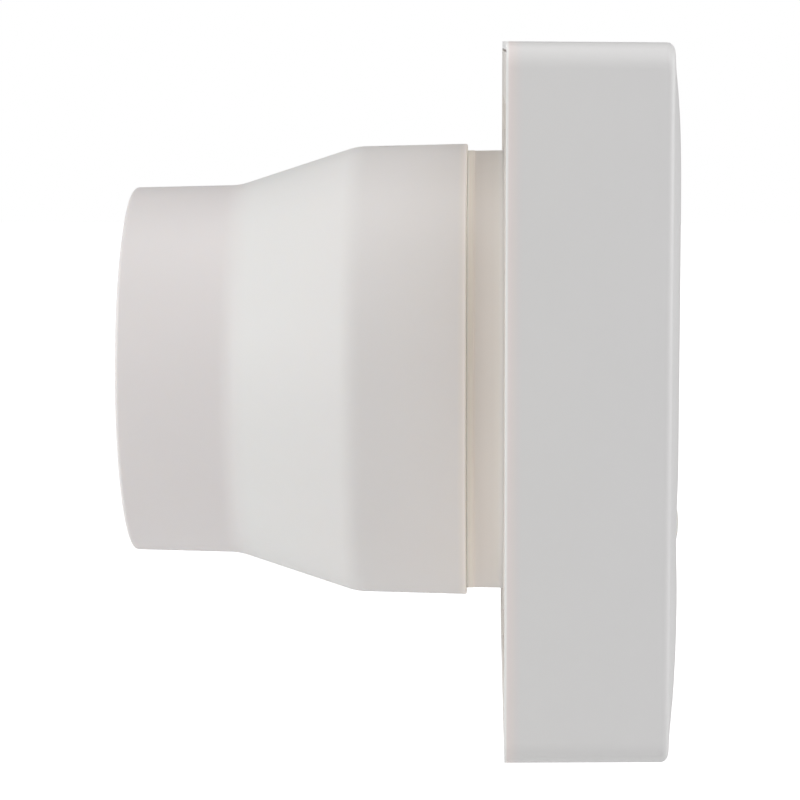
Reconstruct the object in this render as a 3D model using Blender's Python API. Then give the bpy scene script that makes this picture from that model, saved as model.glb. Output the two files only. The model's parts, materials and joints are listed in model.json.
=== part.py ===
"""Bathroom extractor fan: square casing, round spigot, reducing adaptor, fan, shutter and controls.

Metres, +Z up. The duct axis lies on X: +X faces the room, -X runs into the wall.
The origin is on the duct axis in the plane of the wall, at the back plate's rear face.
"""
import math

import bmesh
import bpy
from mathutils import Matrix, Vector

MM = 0.001
GAP = 0.3 * MM                       # left between touching pieces
TUBE_STEPS = 52                      # sides of the large round pieces

# front cover
COVER_HALF = 88.4 * MM               # half the casing's width at the wall
COVER_DRAFT = 0.3 * MM               # how much each side leans in towards the front
COVER_SIDE_END = 38.4 * MM           # where the flat side meets the rounded front edge
COVER_EDGE_RADIUS = 2.0 * MM
COVER_CORNER_RADIUS = 6.5 * MM
COVER_WALL = 2.0 * MM
CROWN_HEIGHT = 3.3 * MM              # of the pillowed front above its edge
CROWN_POWER = 8
BAND_HEIGHT = -33.0 * MM             # middle of the shallow band across the front
BAND_HALF = 18.0 * MM
BAND_DEPTH = 0.35 * MM
SLOT_COUNT = 21                      # air inlets in the top wall, and as many in the bottom
SLOT_PITCH = 7.2 * MM
SLOT_WIDTH = 3.6 * MM
SLOT_START = 8.0 * MM
SLOT_END = 34.0 * MM

# back plate
PLATE_HALF = 85.8 * MM
PLATE_THICKNESS = 2.4 * MM
PLATE_RIM_DEPTH = 11.0 * MM
PLATE_RIM_WALL = 1.8 * MM
PLATE_CORNER_RADIUS = 5.0 * MM
PLATE_BORE = 60.2 * MM
FIXING_HOLE = Vector((0, 0.078, 0.042))
FIXING_HOLE_RADIUS = 2.5 * MM
CABLE_HOLE = Vector((0, -0.0685, -0.0755))
CABLE_HOLE_RADIUS = 5.0 * MM
RECESS_DEPTH = 0.9 * MM              # shallow hollows in the rear face
RECESS_OUTER = 73.0 * MM
RECESS_INNER_RADIUS = 65.0 * MM
RECESS_RIB = 3.0 * MM

# spigot and adaptor
SPIGOT_ROOT_RADIUS = 59.25 * MM
SPIGOT_END_RADIUS = 58.7 * MM
SPIGOT_END = -38.2 * MM
SPIGOT_INNER_RADIUS = 56.8 * MM
FLANGE_RADIUS = 70.0 * MM
FLANGE_BACK = PLATE_THICKNESS + GAP
FLANGE_FRONT = 5.0 * MM
FLANGE_SCREW_CIRCLE = 65.5 * MM
SHUTTER_SEAT_RADIUS = 54.0 * MM
COLLAR_END = -9.65 * MM
COLLAR_RADIUS = 61.0 * MM
CONE_START = -39.4 * MM
CONE_START_RADIUS = 60.3 * MM
CONE_END = -71.2 * MM
CONE_END_RADIUS = 49.9 * MM
TIP_END = -99.6 * MM
TIP_RADIUS = 49.25 * MM
ADAPTOR_WALL = 1.6 * MM
TIP_ROUNDING = 0.7 * MM

# motor and impeller
BRACKET_BACK = 9.6 * MM
BRACKET_THICKNESS = 2.0 * MM
BRACKET_ARMS = (270, 30, 150)        # degrees from +Y towards +Z
STACK_BACK = 16.3 * MM
STACK_LENGTH = 14.0 * MM
STATOR_BORE = 13.6 * MM
ROTOR_RADIUS = 13.0 * MM
SHAFT_RADIUS = 2.0 * MM
MOTOR_SCREW_OFFSET = 20.5 * MM
LEG_LOW = 28.0 * MM                  # the stator's top leg, which the coil sits on
LEG_HIGH = 38.0 * MM
BLADE_COUNT = 7
BLADE_TIP_RADIUS = 55.0 * MM
HUB_RADIUS = 21.0 * MM

# backdraught shutter
PIN_X = -34.6 * MM
PIN_RADIUS = 1.0 * MM
PIN_HALF_LENGTH = 55.2 * MM
FLAP_RADIUS = 55.6 * MM
FLAP_FRONT = -32.5 * MM
FLAP_THICKNESS = 1.0 * MM
KNUCKLE_RADIUS = 2.2 * MM
KNUCKLE_BORE = 1.35 * MM

# controls
BOARD_BACK = 22.0 * MM
BOARD_THICKNESS = 1.6 * MM
BOARD_LOW = -82.0 * MM
BOARD_HIGH = -50.0 * MM
BOARD_HALF = 40.0 * MM
LEAD_X = 26.2 * MM                   # where the motor's wires go into the control cover
LEAD_Y = 32.5 * MM
LENS_HEIGHT = -42.0 * MM
LENS_RADIUS = 9.0 * MM
BOARD_SCREW_Y = 34.0 * MM            # one each side, into a post on the back plate
BOARD_SCREW_Z = -78.0 * MM
TRIMMER_Y = (22.0 * MM, 33.0 * MM)   # timer, light level
TRIMMER_Z = -65.5 * MM
TERMINAL_Y = -68.0 * MM              # the middle one of three
TERMINAL_Z = -51.5 * MM
TERMINAL_PITCH = 8.4 * MM
CLAMP_Y = -68.5 * MM
CLAMP_Z = -63.0 * MM
CLAMP_SPREAD = 10.5 * MM             # from the middle of the bar to each of its screws


def clear_scene():
    for item in list(bpy.data.objects):
        bpy.data.objects.remove(item, do_unlink=True)


def material(name, hex_colour, roughness, metallic=0.0):
    made = bpy.data.materials.get(name)
    if made:
        return made
    made = bpy.data.materials.new(name)
    made.use_nodes = True
    shader = made.node_tree.nodes["Principled BSDF"]
    channels = [int(hex_colour[i:i + 2], 16) / 255 for i in (0, 2, 4)]
    linear = [c / 12.92 if c <= 0.04045 else ((c + 0.055) / 1.055) ** 2.4 for c in channels]
    shader.inputs["Base Color"].default_value = (*linear, 1)
    shader.inputs["Roughness"].default_value = roughness
    shader.inputs["Metallic"].default_value = metallic
    return made


def white_plastic():
    return material("white_plastic", "E6E4E1", 0.38)


def ivory_plastic():
    return material("ivory_plastic", "E8E3DE", 0.42)


def grey_plastic():
    return material("grey_plastic", "5C6064", 0.45)


def black_plastic():
    return material("black_plastic", "1E1F21", 0.4)


def lens_plastic():
    return material("lens_plastic", "ECEBE6", 0.3)


def rubber():
    return material("rubber", "2A2A2B", 0.75)


def steel():
    return material("steel", "B9BABC", 0.32, 1.0)


def lamination_steel():
    return material("lamination_steel", "6E7073", 0.5, 0.9)


def zinc():
    return material("zinc", "A2A4A6", 0.45, 0.9)


def copper():
    return material("copper", "B4683A", 0.35, 0.9)


def board_green():
    return material("board_green", "2F6B45", 0.45)


def blue_plastic():
    return material("blue_plastic", "2F62A8", 0.4)


def add_object(name, shape, finish, origin=(0, 0, 0)):
    """Turn a bmesh in world coordinates into an object with the given origin."""
    bmesh.ops.remove_doubles(shape, verts=shape.verts, dist=1e-7)
    bmesh.ops.recalc_face_normals(shape, faces=shape.faces)
    bmesh.ops.translate(shape, vec=-Vector(origin), verts=shape.verts)
    mesh = bpy.data.meshes.new(name)
    shape.to_mesh(mesh)
    shape.free()
    mesh.shade_smooth()
    mesh.set_sharp_from_angle(angle=math.radians(35))
    made = bpy.data.objects.new(name, mesh)
    made.location = origin
    bpy.context.collection.objects.link(made)
    if finish:
        made.data.materials.append(finish)
    return made


def tool(name, shape):
    """A hidden object that cuts or joins another one."""
    made = add_object(name, shape, None)
    made.hide_render = True
    made.display_type = "WIRE"
    return made


def combine(target, shape, operation):
    """Add a Boolean that cuts the shape from the target or joins it on."""
    number = len(target.modifiers) + 1
    helper = tool(f"{target.name}_tool_{number}", shape)
    step = target.modifiers.new(f"{operation.lower()}_{number}", "BOOLEAN")
    step.operation = operation
    step.solver = "EXACT"
    step.object = helper


def cut(target, shape):
    combine(target, shape, "DIFFERENCE")


def fuse(target, shape):
    combine(target, shape, "UNION")


def add_box(shape, low, high, turn=None):
    """Add a box between two corners; turn is a matrix applied to it afterwards."""
    low, high = Vector(low), Vector(high)
    place = Matrix.Translation((low + high) / 2) @ Matrix.Diagonal((*(high - low), 1))
    bmesh.ops.create_cube(shape, size=1, matrix=(turn or Matrix()) @ place)
    return shape


def add_cylinder(shape, start, end, radius, segments=24, end_radius=None):
    start, end = Vector(start), Vector(end)
    along = end - start
    turn = along.to_track_quat("Z", "Y").to_matrix().to_4x4()
    place = Matrix.Translation((start + end) / 2) @ turn
    far = radius if end_radius is None else end_radius
    bmesh.ops.create_cone(shape, cap_ends=True, segments=segments, radius1=radius, radius2=far,
                          depth=along.length, matrix=place)
    return shape


def box(low, high, turn=None):
    return add_box(bmesh.new(), low, high, turn)


def cylinder(start, end, radius, segments=24, end_radius=None):
    return add_cylinder(bmesh.new(), start, end, radius, segments, end_radius)


def turned(profile, segments, centre=(0, 0, 0), ring=True):
    """Spin a profile of (x, radius) points about an X axis through the centre."""
    shape = bmesh.new()
    points = [shape.verts.new(Vector(centre) + Vector((x, 0, r))) for x, r in profile]
    pairs = list(zip(points, points[1:]))
    if ring:
        pairs.append((points[-1], points[0]))
    edges = [shape.edges.new(pair) for pair in pairs]
    bmesh.ops.spin(shape, geom=points + edges, cent=centre, axis=(1, 0, 0),
                   angle=math.tau, steps=segments, use_merge=True)
    bmesh.ops.remove_doubles(shape, verts=shape.verts, dist=1e-7)
    return shape


def add_copy(shape, single):
    """Move one closed body into a bmesh that gathers several."""
    bmesh.ops.recalc_face_normals(single, faces=single.faces)
    mesh = bpy.data.meshes.new("copy")
    single.to_mesh(mesh)
    single.free()
    shape.from_mesh(mesh)
    bpy.data.meshes.remove(mesh)


def around(angle, radius, x=0.0):
    """A point at an angle in degrees from +Y towards +Z about the duct axis."""
    turn = math.radians(angle)
    return Vector((x, radius * math.cos(turn), radius * math.sin(turn)))


def extruded(outline, low, high):
    """A prism from (y, z) points between two x planes."""
    shape = bmesh.new()
    face = shape.faces.new([shape.verts.new((low, y, z)) for y, z in outline])
    grown = bmesh.ops.extrude_face_region(shape, geom=[face])
    moved = [item for item in grown["geom"] if isinstance(item, bmesh.types.BMVert)]
    bmesh.ops.translate(shape, vec=(high - low, 0, 0), verts=moved)
    return shape


def rounded_square(half, corner, corner_steps=4, side_steps=5):
    """(y, z) points of a square with round corners, anticlockwise from +Y."""
    points = []
    inner = half - corner
    for quarter in range(4):
        start = math.pi / 2 * quarter
        middle = Vector((math.copysign(inner, math.cos(start + math.pi / 4)),
                         math.copysign(inner, math.sin(start + math.pi / 4))))
        for step in range(corner_steps + 1):
            turn = start + math.pi / 2 * step / corner_steps
            points.append((middle.x + corner * math.cos(turn), middle.y + corner * math.sin(turn)))
        last = Vector(points[-1])
        along = Vector((-math.cos(start), -math.sin(start)))
        for step in range(1, side_steps):
            share = (1 - math.cos(math.pi * step / side_steps)) / 2
            points.append(tuple(last + along * 2 * inner * share))
    return points


def loft(rings, close_last=True):
    """Join rings of 3-D points with quads, from the first ring to the last."""
    shape = bmesh.new()
    rows = [[shape.verts.new(point) for point in ring] for ring in rings]
    for row, following in zip(rows, rows[1:]):
        for i in range(len(row)):
            j = (i + 1) % len(row)
            shape.faces.new((row[i], row[j], following[j], following[i]))
    if close_last:
        shape.faces.new(rows[-1])
        shape.faces.new(list(reversed(rows[0])))
    return shape


def front_height(y, z, half, base):
    """How far forward the pillowed front lies at a point, with its shallow band."""
    rise = (1 - abs(y / half) ** CROWN_POWER) * (1 - abs(z / half) ** CROWN_POWER)
    across = (z - BAND_HEIGHT) / BAND_HALF
    dip = BAND_DEPTH * math.cos(across * math.pi / 2) ** 2 if abs(across) < 1 else 0
    return base + CROWN_HEIGHT * max(rise, 0) - dip * min(rise * 2, 1)


def cover_rings(inset):
    """Rings up one skin of the cover, inset from the outer skin by a wall's thickness."""
    rings = []
    edge_radius = max(COVER_EDGE_RADIUS - inset, 0.4 * MM)
    side_end = COVER_SIDE_END
    front_half = COVER_HALF - COVER_DRAFT - inset
    corner = COVER_CORNER_RADIUS - inset
    for x, half in ((GAP, COVER_HALF - inset), (side_end, front_half)):
        rings.append([(x, y, z) for y, z in rounded_square(half, corner)])
    for degrees in (25, 50, 73):
        turn = math.radians(degrees)
        half = front_half - edge_radius * (1 - math.cos(turn))
        x = side_end + edge_radius * math.sin(turn)
        rings.append([(x, y, z) for y, z in rounded_square(half, corner)])
    crown_half = front_half - edge_radius * (1 - math.cos(math.radians(73)))
    base = side_end + edge_radius * math.sin(math.radians(73))
    for share in (0.975, 0.945, 0.90, 0.84, 0.74, 0.56, 0.34):
        half = crown_half * share
        round_corner = corner + (half - corner) * (1 - share) * 0.8
        ring = rounded_square(half, round_corner)
        rings.append([(front_height(y, z, crown_half, base), y, z) for y, z in ring])
    return rings


def front_cover():
    outer = cover_rings(0)
    inner = cover_rings(COVER_WALL)
    made = add_object("front_cover", loft(list(reversed(inner)) + outer), white_plastic())
    slots = bmesh.new()
    for side in (1, -1):
        for i in range(SLOT_COUNT):
            y = (i - (SLOT_COUNT - 1) / 2) * SLOT_PITCH
            low = Vector((SLOT_START, y - SLOT_WIDTH / 2, side * (COVER_HALF - 5 * MM)))
            high = Vector((SLOT_END, y + SLOT_WIDTH / 2, side * (COVER_HALF + 3 * MM)))
            add_box(slots, low, high)
    cut(made, slots)
    cut(made, cylinder((0.036, 0, LENS_HEIGHT), (0.05, 0, LENS_HEIGHT), LENS_RADIUS + GAP, 40))


def sensor_lens():
    """A domed cap with a flange behind the front wall."""
    wall = 1.2 * MM
    flange_back, flange_front = 39.2 * MM, 40.6 * MM
    flange_radius = LENS_RADIUS + 2 * MM
    dome_base, dome_rise = 44.0 * MM, 3.9 * MM
    turns = [math.pi / 2 * i / 4 for i in range(5)]
    outside = [(dome_base + dome_rise * math.sin(t), LENS_RADIUS * math.cos(t)) for t in turns]
    inside = [(dome_base - wall * 0.5 + (dome_rise - wall * 0.5) * math.sin(t),
               (LENS_RADIUS - wall) * math.cos(t)) for t in reversed(turns)]
    profile = [(flange_back, LENS_RADIUS - wall), (flange_back, flange_radius),
               (flange_front, flange_radius), (flange_front, LENS_RADIUS)]
    shape = turned(profile + outside + inside, 22, (0, 0, LENS_HEIGHT))
    add_object("sensor_lens", shape, lens_plastic())


def back_plate():
    outline = rounded_square(PLATE_HALF, PLATE_CORNER_RADIUS, 4, 1)
    made = add_object("back_plate", extruded(outline, 0, PLATE_RIM_DEPTH), white_plastic())
    well = rounded_square(PLATE_HALF - PLATE_RIM_WALL, PLATE_CORNER_RADIUS - PLATE_RIM_WALL, 4, 1)
    cut(made, extruded(well, PLATE_THICKNESS, PLATE_RIM_DEPTH + 5 * MM))
    posts = bmesh.new()
    for side in (1, -1):
        low_post = Vector((PLATE_THICKNESS - 1 * MM, side * BOARD_SCREW_Y, BOARD_SCREW_Z))
        add_cylinder(posts, low_post, low_post + Vector((BOARD_BACK - GAP - low_post.x, 0, 0)), 3 * MM, 12)
        clamp_post = Vector((PLATE_THICKNESS - 1 * MM, CLAMP_Y + side * CLAMP_SPREAD, CLAMP_Z))
        add_cylinder(posts, clamp_post, clamp_post + Vector((5.6 * MM, 0, 0)), 2.6 * MM, 12)
    fuse(made, posts)
    holes = cylinder((-0.01, 0, 0), (0.02, 0, 0), PLATE_BORE, TUBE_STEPS)
    for y_side in (1, -1):
        for z_side in (1, -1):
            spot = Vector((0, y_side * FIXING_HOLE.y, z_side * FIXING_HOLE.z))
            add_cylinder(holes, spot - Vector((0.01, 0, 0)), spot + Vector((0.02, 0, 0)),
                         FIXING_HOLE_RADIUS, 16)
    add_cylinder(holes, CABLE_HOLE - Vector((0.01, 0, 0)), CABLE_HOLE + Vector((0.02, 0, 0)),
                 CABLE_HOLE_RADIUS, 24)
    cut(made, holes)
    notches = bmesh.new()
    for side in (1, -1):                                   # release slots for the cover's clips
        for low, high, depth in ((81.9 * MM, 84.2 * MM, 3 * MM), (73.5 * MM, 74.8 * MM, 1 * MM)):
            edge = PLATE_HALF - depth if depth < 2 * MM else PLATE_HALF - 3.6 * MM
            span = sorted((side * edge, side * (PLATE_HALF + 2 * MM)))
            add_box(notches, (-2 * MM, span[0], low), (1.6 * MM, span[1], high))
    cut(made, notches)
    cut(made, rear_recesses())


def rear_recesses():
    """Four shallow hollows in the plate's rear face, between its rim, its cross ribs and the bore."""
    shape = bmesh.new()
    for y_side in (1, -1):
        for z_side in (1, -1):
            first = math.acos(RECESS_RIB / RECESS_INNER_RADIUS)
            last = math.pi / 2 - first
            arc = [first + (last - first) * i / 8 for i in range(9)]
            outline = [(RECESS_RIB, RECESS_OUTER), (RECESS_OUTER, RECESS_OUTER), (RECESS_OUTER, RECESS_RIB)]
            outline += [(RECESS_INNER_RADIUS * math.cos(t), RECESS_INNER_RADIUS * math.sin(t))
                        for t in reversed(arc)]
            single = extruded([(y_side * y, z_side * z) for y, z in outline], -1 * MM, RECESS_DEPTH)
            add_copy(shape, single)
    return shape


def fan_duct():
    lip = [(FLANGE_FRONT - 4.6 * MM * math.sin(t), 57.1 * MM + 5.2 * MM * (1 - math.sin(t)) ** 1.5)
           for t in [math.pi / 2 * i / 3 for i in range(4)]]
    profile = [(SPIGOT_END, SPIGOT_END_RADIUS), (0, SPIGOT_ROOT_RADIUS), (FLANGE_BACK, SPIGOT_ROOT_RADIUS),
               (FLANGE_BACK, FLANGE_RADIUS), (FLANGE_FRONT, FLANGE_RADIUS), *lip,
               (-30.5 * MM, SPIGOT_INNER_RADIUS), (-30.5 * MM, SHUTTER_SEAT_RADIUS),
               (FLAP_FRONT + GAP, SHUTTER_SEAT_RADIUS), (FLAP_FRONT + GAP, SPIGOT_INNER_RADIUS),
               (SPIGOT_END, SPIGOT_INNER_RADIUS)]
    made = add_object("fan_duct", turned(profile, TUBE_STEPS), white_plastic())
    blocks = bmesh.new()
    for side in (1, -1):
        span = sorted((side * 52.9 * MM, side * 57.6 * MM))
        add_box(blocks, (PIN_X - 2.4 * MM, -3 * MM, span[0]), (-31.2 * MM, 3 * MM, span[1]))
    fuse(made, blocks)
    holes = cylinder((PIN_X, 0, -0.0556), (PIN_X, 0, 0.0556), KNUCKLE_BORE, 12)
    for angle in (45, 135, 225, 315, *BRACKET_ARMS):
        add_cylinder(holes, around(angle, FLANGE_SCREW_CIRCLE, 0.0015),
                     around(angle, FLANGE_SCREW_CIRCLE, 0.008), 2 * MM, 12)
    cut(made, holes)


def duct_adaptor():
    cone_drop = (CONE_START_RADIUS - CONE_END_RADIUS) / (CONE_START - CONE_END)
    soft = 1.6 * MM                                        # half length of each softened bend
    bend = 0.16 * MM
    outside = [(COLLAR_END, COLLAR_RADIUS), (CONE_START + soft, CONE_START_RADIUS + 0.04 * MM),
               (CONE_START, CONE_START_RADIUS - bend), (CONE_START - soft, CONE_START_RADIUS - soft * cone_drop),
               (CONE_END + soft, CONE_END_RADIUS + soft * cone_drop), (CONE_END, CONE_END_RADIUS + bend),
               (CONE_END - soft, CONE_END_RADIUS - 0.03 * MM),
               (TIP_END + TIP_ROUNDING, TIP_RADIUS), (TIP_END + 0.2 * TIP_ROUNDING, TIP_RADIUS - 0.3 * TIP_ROUNDING),
               (TIP_END, TIP_RADIUS - TIP_ROUNDING)]
    shoulder = SPIGOT_END - 0.5 * MM
    inside = [(TIP_END, TIP_RADIUS - ADAPTOR_WALL), (CONE_END, CONE_END_RADIUS - ADAPTOR_WALL),
              (CONE_START - 1 * MM, 57.6 * MM), (shoulder, 57.6 * MM), (shoulder, 59.06 * MM),
              (COLLAR_END, 59.5 * MM)]
    add_object("duct_adaptor", turned(outside + inside, TUBE_STEPS), ivory_plastic())


def screw(name, head_base, direction, length, shaft_radius, head_radius, head_height):
    """A pan-head screw: the head sits on head_base, the shaft points along direction."""
    side = math.copysign(1, direction)
    profile = [(side * length, 0), (side * (length - shaft_radius * 0.6), shaft_radius),
               (0, shaft_radius), (0, head_radius), (-side * head_height * 0.55, head_radius),
               (-side * head_height, head_radius * 0.62), (-side * head_height, 0)]
    add_object(name, turned(profile, 10, head_base, ring=False), steel())


def duct_screws():
    for number, angle in enumerate((45, 135, 225, 315), start=1):
        spot = around(angle, FLANGE_SCREW_CIRCLE, FLANGE_FRONT + GAP)
        screw(f"duct_screw_{number}", spot, -1, 2.4 * MM, 1.5 * MM, 3 * MM, 2 * MM)


def motor_bracket():
    front = BRACKET_BACK + BRACKET_THICKNESS
    made = add_object("motor_bracket", cylinder((BRACKET_BACK, 0, 0), (front, 0, 0), 25 * MM, 32),
                      grey_plastic())
    arms = bmesh.new()
    for angle in BRACKET_ARMS:
        turn = Matrix.Rotation(math.radians(angle), 4, "X")
        add_box(arms, (BRACKET_BACK + 0.1 * MM, 18 * MM, -4.5 * MM),
                (front - 0.1 * MM, 62 * MM, 4.5 * MM), turn)
    fuse(made, arms)
    ends = bmesh.new()
    for angle in BRACKET_ARMS:
        add_cylinder(ends, around(angle, FLANGE_SCREW_CIRCLE, BRACKET_BACK + 0.05 * MM),
                     around(angle, FLANGE_SCREW_CIRCLE, front - 0.05 * MM), 6 * MM, 20)
    fuse(made, ends)
    ribs = bmesh.new()
    for angle in BRACKET_ARMS:
        turn = Matrix.Rotation(math.radians(angle), 4, "X")
        add_box(ribs, (front - 1 * MM, 33 * MM, -0.9 * MM), (front + 3 * MM, 57 * MM, 0.9 * MM), turn)
    fuse(made, ribs)
    holes = cylinder((0, 0, 0), (0.03, 0, 0), 8.2 * MM, 24)
    for side in (1, -1):
        spot = (side * MOTOR_SCREW_OFFSET, 0)
        add_cylinder(holes, (0, *spot), (0.03, *spot), 2 * MM, 12)
    for angle in BRACKET_ARMS:
        add_cylinder(holes, around(angle, FLANGE_SCREW_CIRCLE, 0), around(angle, FLANGE_SCREW_CIRCLE, 0.03),
                     2 * MM, 12)
    cut(made, holes)
    cut(made, box((0, -0.02, 16.4 * MM), (0.03, 0.02, 0.04)))


def bracket_mounts():
    for number, angle in enumerate(BRACKET_ARMS, start=1):
        centre = around(angle, FLANGE_SCREW_CIRCLE)
        bush = [(FLANGE_FRONT + GAP, 2.1 * MM), (FLANGE_FRONT + GAP, 4.4 * MM), (6.4 * MM, 4.7 * MM),
                (7.3 * MM, 3.9 * MM), (8.2 * MM, 4.7 * MM), (BRACKET_BACK - GAP, 4.4 * MM),
                (BRACKET_BACK - GAP, 2.1 * MM)]
        add_object(f"rubber_bush_{number}", turned(bush, 14, centre), rubber())
        head = centre + Vector((BRACKET_BACK + BRACKET_THICKNESS + GAP, 0, 0))
        screw(f"bracket_screw_{number}", head, -1, 8.6 * MM, 1.6 * MM, 3.4 * MM, 2.2 * MM)


def stator():
    front = STACK_BACK + STACK_LENGTH
    low, wide, bevel = -21 * MM, 26 * MM, 6 * MM
    outline = [(-wide + bevel, low), (wide - bevel, low), (wide, low + bevel), (wide, LEG_HIGH - bevel),
               (wide - bevel, LEG_HIGH), (-wide + bevel, LEG_HIGH), (-wide, LEG_HIGH - bevel), (-wide, low + bevel)]
    made = add_object("stator_core", extruded(outline, STACK_BACK, front), lamination_steel())
    holes = cylinder((0, 0, 0), (0.05, 0, 0), STATOR_BORE, 40)
    add_box(holes, (0.01, -17 * MM, 17 * MM), (0.04, 17 * MM, LEG_LOW))
    for side in (1, -1):
        spot = (side * MOTOR_SCREW_OFFSET, 0)
        add_cylinder(holes, (0, *spot), (0.05, *spot), 1.9 * MM, 12)
    cut(made, holes)
    slots = bmesh.new()
    for side, name in ((1, "right"), (-1, "left")):
        turn = Matrix.Rotation(math.radians(0 if side > 0 else 180), 4, "X") @ Matrix.Rotation(
            math.radians(-50), 4, "X")
        for edge in (4.2 * MM, -4.2 * MM):
            add_box(slots, (0.01, 14.7 * MM, edge - 0.9 * MM), (0.04, 16.9 * MM, edge + 0.9 * MM), turn)
        ring = add_object(f"shading_ring_{name}", box((STACK_BACK - 0.9 * MM, 15.2 * MM, -4.7 * MM),
                                                      (front + 0.9 * MM, 16.4 * MM, 4.7 * MM), turn), copper())
        cut(ring, box((STACK_BACK - 0.3 * MM, 14 * MM, -3.7 * MM), (front + 0.3 * MM, 18 * MM, 3.7 * MM), turn))
    cut(made, slots)


def coil():
    """A spool on the stator's top leg, with the winding between its flanges."""
    back, front = STACK_BACK - 0.4 * MM, STACK_BACK + STACK_LENGTH + 0.4 * MM
    low, high = LEG_LOW - 0.4 * MM, LEG_HIGH + 0.4 * MM
    wall, depth, half = 1.2 * MM, 5.5 * MM, 15.2 * MM
    made = add_object("coil_bobbin", box((back - wall, -half - 1 * MM, low - wall),
                                         (front + wall, half + 1 * MM, high + wall)), black_plastic())
    flanges = bmesh.new()
    reach = wall + depth + 0.9 * MM
    for side in (1, -1):
        span = sorted((side * half, side * (half + 1.2 * MM)))
        add_box(flanges, (back - reach, span[0], low - reach), (front + reach, span[1], high + reach))
    fuse(made, flanges)
    cut(made, box((back, -0.03, low), (front, 0.03, high)))
    winding = box((back - wall - depth, -half + GAP, low - wall - depth),
                  (front + wall + depth, half - GAP, high + wall + depth))
    lengthways = [edge for edge in winding.edges if abs((edge.verts[0].co - edge.verts[1].co).y) > half]
    bmesh.ops.bevel(winding, geom=lengthways, offset=3.5 * MM, segments=4, profile=0.5, affect="EDGES")
    wound = add_object("coil_winding", winding, copper())
    cut(wound, box((back - wall - GAP, -0.03, low - wall - GAP), (front + wall + GAP, 0.03, high + wall + GAP)))


def rotor():
    spin_origin = (STACK_BACK, 0, 0)
    core = [(STACK_BACK + 0.5 * MM, 2.3 * MM), (STACK_BACK + 0.5 * MM, ROTOR_RADIUS),
            (STACK_BACK + STACK_LENGTH - 0.5 * MM, ROTOR_RADIUS), (STACK_BACK + STACK_LENGTH - 0.5 * MM, 2.3 * MM)]
    add_object("rotor_core", turned(core, 36), lamination_steel(), spin_origin)
    shaft = [(-24.5 * MM, 0), (-24 * MM, SHAFT_RADIUS), (36.7 * MM, SHAFT_RADIUS), (37.2 * MM, 0)]
    add_object("motor_shaft", turned(shaft, 16, ring=False), steel(), spin_origin)


def bearing_housing(name, plane, outward, stack_face):
    """A die-cast end bracket: round body, two feet for the screws, and a boss for the bearing."""
    body = [(plane, 6.2 * MM), (plane + outward * 5.2 * MM, 6.2 * MM), (plane + outward * 5.2 * MM, 7.4 * MM),
            (plane + outward * 0.2 * MM, 7.6 * MM), (plane - outward * 0.6 * MM, 16.5 * MM),
            (plane - outward * 2.4 * MM, 16.5 * MM), (plane - outward * 1.8 * MM, 6.2 * MM)]
    made = add_object(name, turned(body, 24), zinc())
    ears = bmesh.new()
    for side in (1, -1):
        span = sorted((side * 14.5 * MM, side * 24.5 * MM))
        xs = sorted((plane - outward * 0.75 * MM, plane - outward * 2.3 * MM))
        add_box(ears, (xs[0], span[0], -4.2 * MM), (xs[1], span[1], 4.2 * MM))
    fuse(made, ears)
    feet = bmesh.new()
    for side in (1, -1):
        add_cylinder(feet, (plane - outward * 0.9 * MM, side * MOTOR_SCREW_OFFSET, 0),
                     (stack_face, side * MOTOR_SCREW_OFFSET, 0), 3.6 * MM, 16)
    fuse(made, feet)
    holes = bmesh.new()
    for side in (1, -1):
        add_cylinder(holes, (0, side * MOTOR_SCREW_OFFSET, 0), (0.05, side * MOTOR_SCREW_OFFSET, 0), 1.9 * MM, 12)
    cut(made, holes)


def bearings():
    bearing_housing("rear_bearing_housing", 12.9 * MM, -1, STACK_BACK - GAP)
    bearing_housing("front_bearing_housing", 33.6 * MM, 1, STACK_BACK + STACK_LENGTH + GAP)
    for name, start in (("rear_bearing", 8.1 * MM), ("front_bearing", 33.4 * MM)):
        ring = [(start, 2.3 * MM), (start, 5.9 * MM), (start + 5 * MM, 5.9 * MM), (start + 5 * MM, 2.3 * MM)]
        add_object(name, turned(ring, 24), steel())


def motor_screws():
    for number, side in enumerate((1, -1), start=1):
        head = Vector((34.65 * MM, side * MOTOR_SCREW_OFFSET, 0))
        screw(f"motor_screw_{number}", head, -1, 24.8 * MM, 1.5 * MM, 3.1 * MM, 2.2 * MM)


def blade(angle):
    """One twisted, cambered blade, starting inside the hub."""
    rings = []
    stations = 5
    for i in range(stations):
        share = i / (stations - 1)
        radius = 19.6 * MM + (BLADE_TIP_RADIUS - 19.6 * MM) * share
        pitch = math.radians(48 - 24 * share)
        chord = (24 + 11 * share) * MM
        thickness = (1.9 - 0.7 * share) * MM
        sweep = math.radians(10 * share)
        ring = []
        chordwise = [-0.5, -0.18, 0.18, 0.5]
        for side, order in ((1, chordwise), (-1, list(reversed(chordwise)))):
            for s in order:
                camber = 0.07 * chord * (1 - (2 * s) ** 2)
                half = thickness / 2 * (1 - (2 * s) ** 2 * 0.7)
                along, across = s * chord, camber + side * half
                x = -10 * MM + along * math.sin(pitch) + across * math.cos(pitch)
                tangent = along * math.cos(pitch) - across * math.sin(pitch)
                turn = math.radians(angle) + sweep + tangent / radius
                ring.append((x, radius * math.cos(turn), radius * math.sin(turn)))
        rings.append(ring)
    return rings


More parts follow.
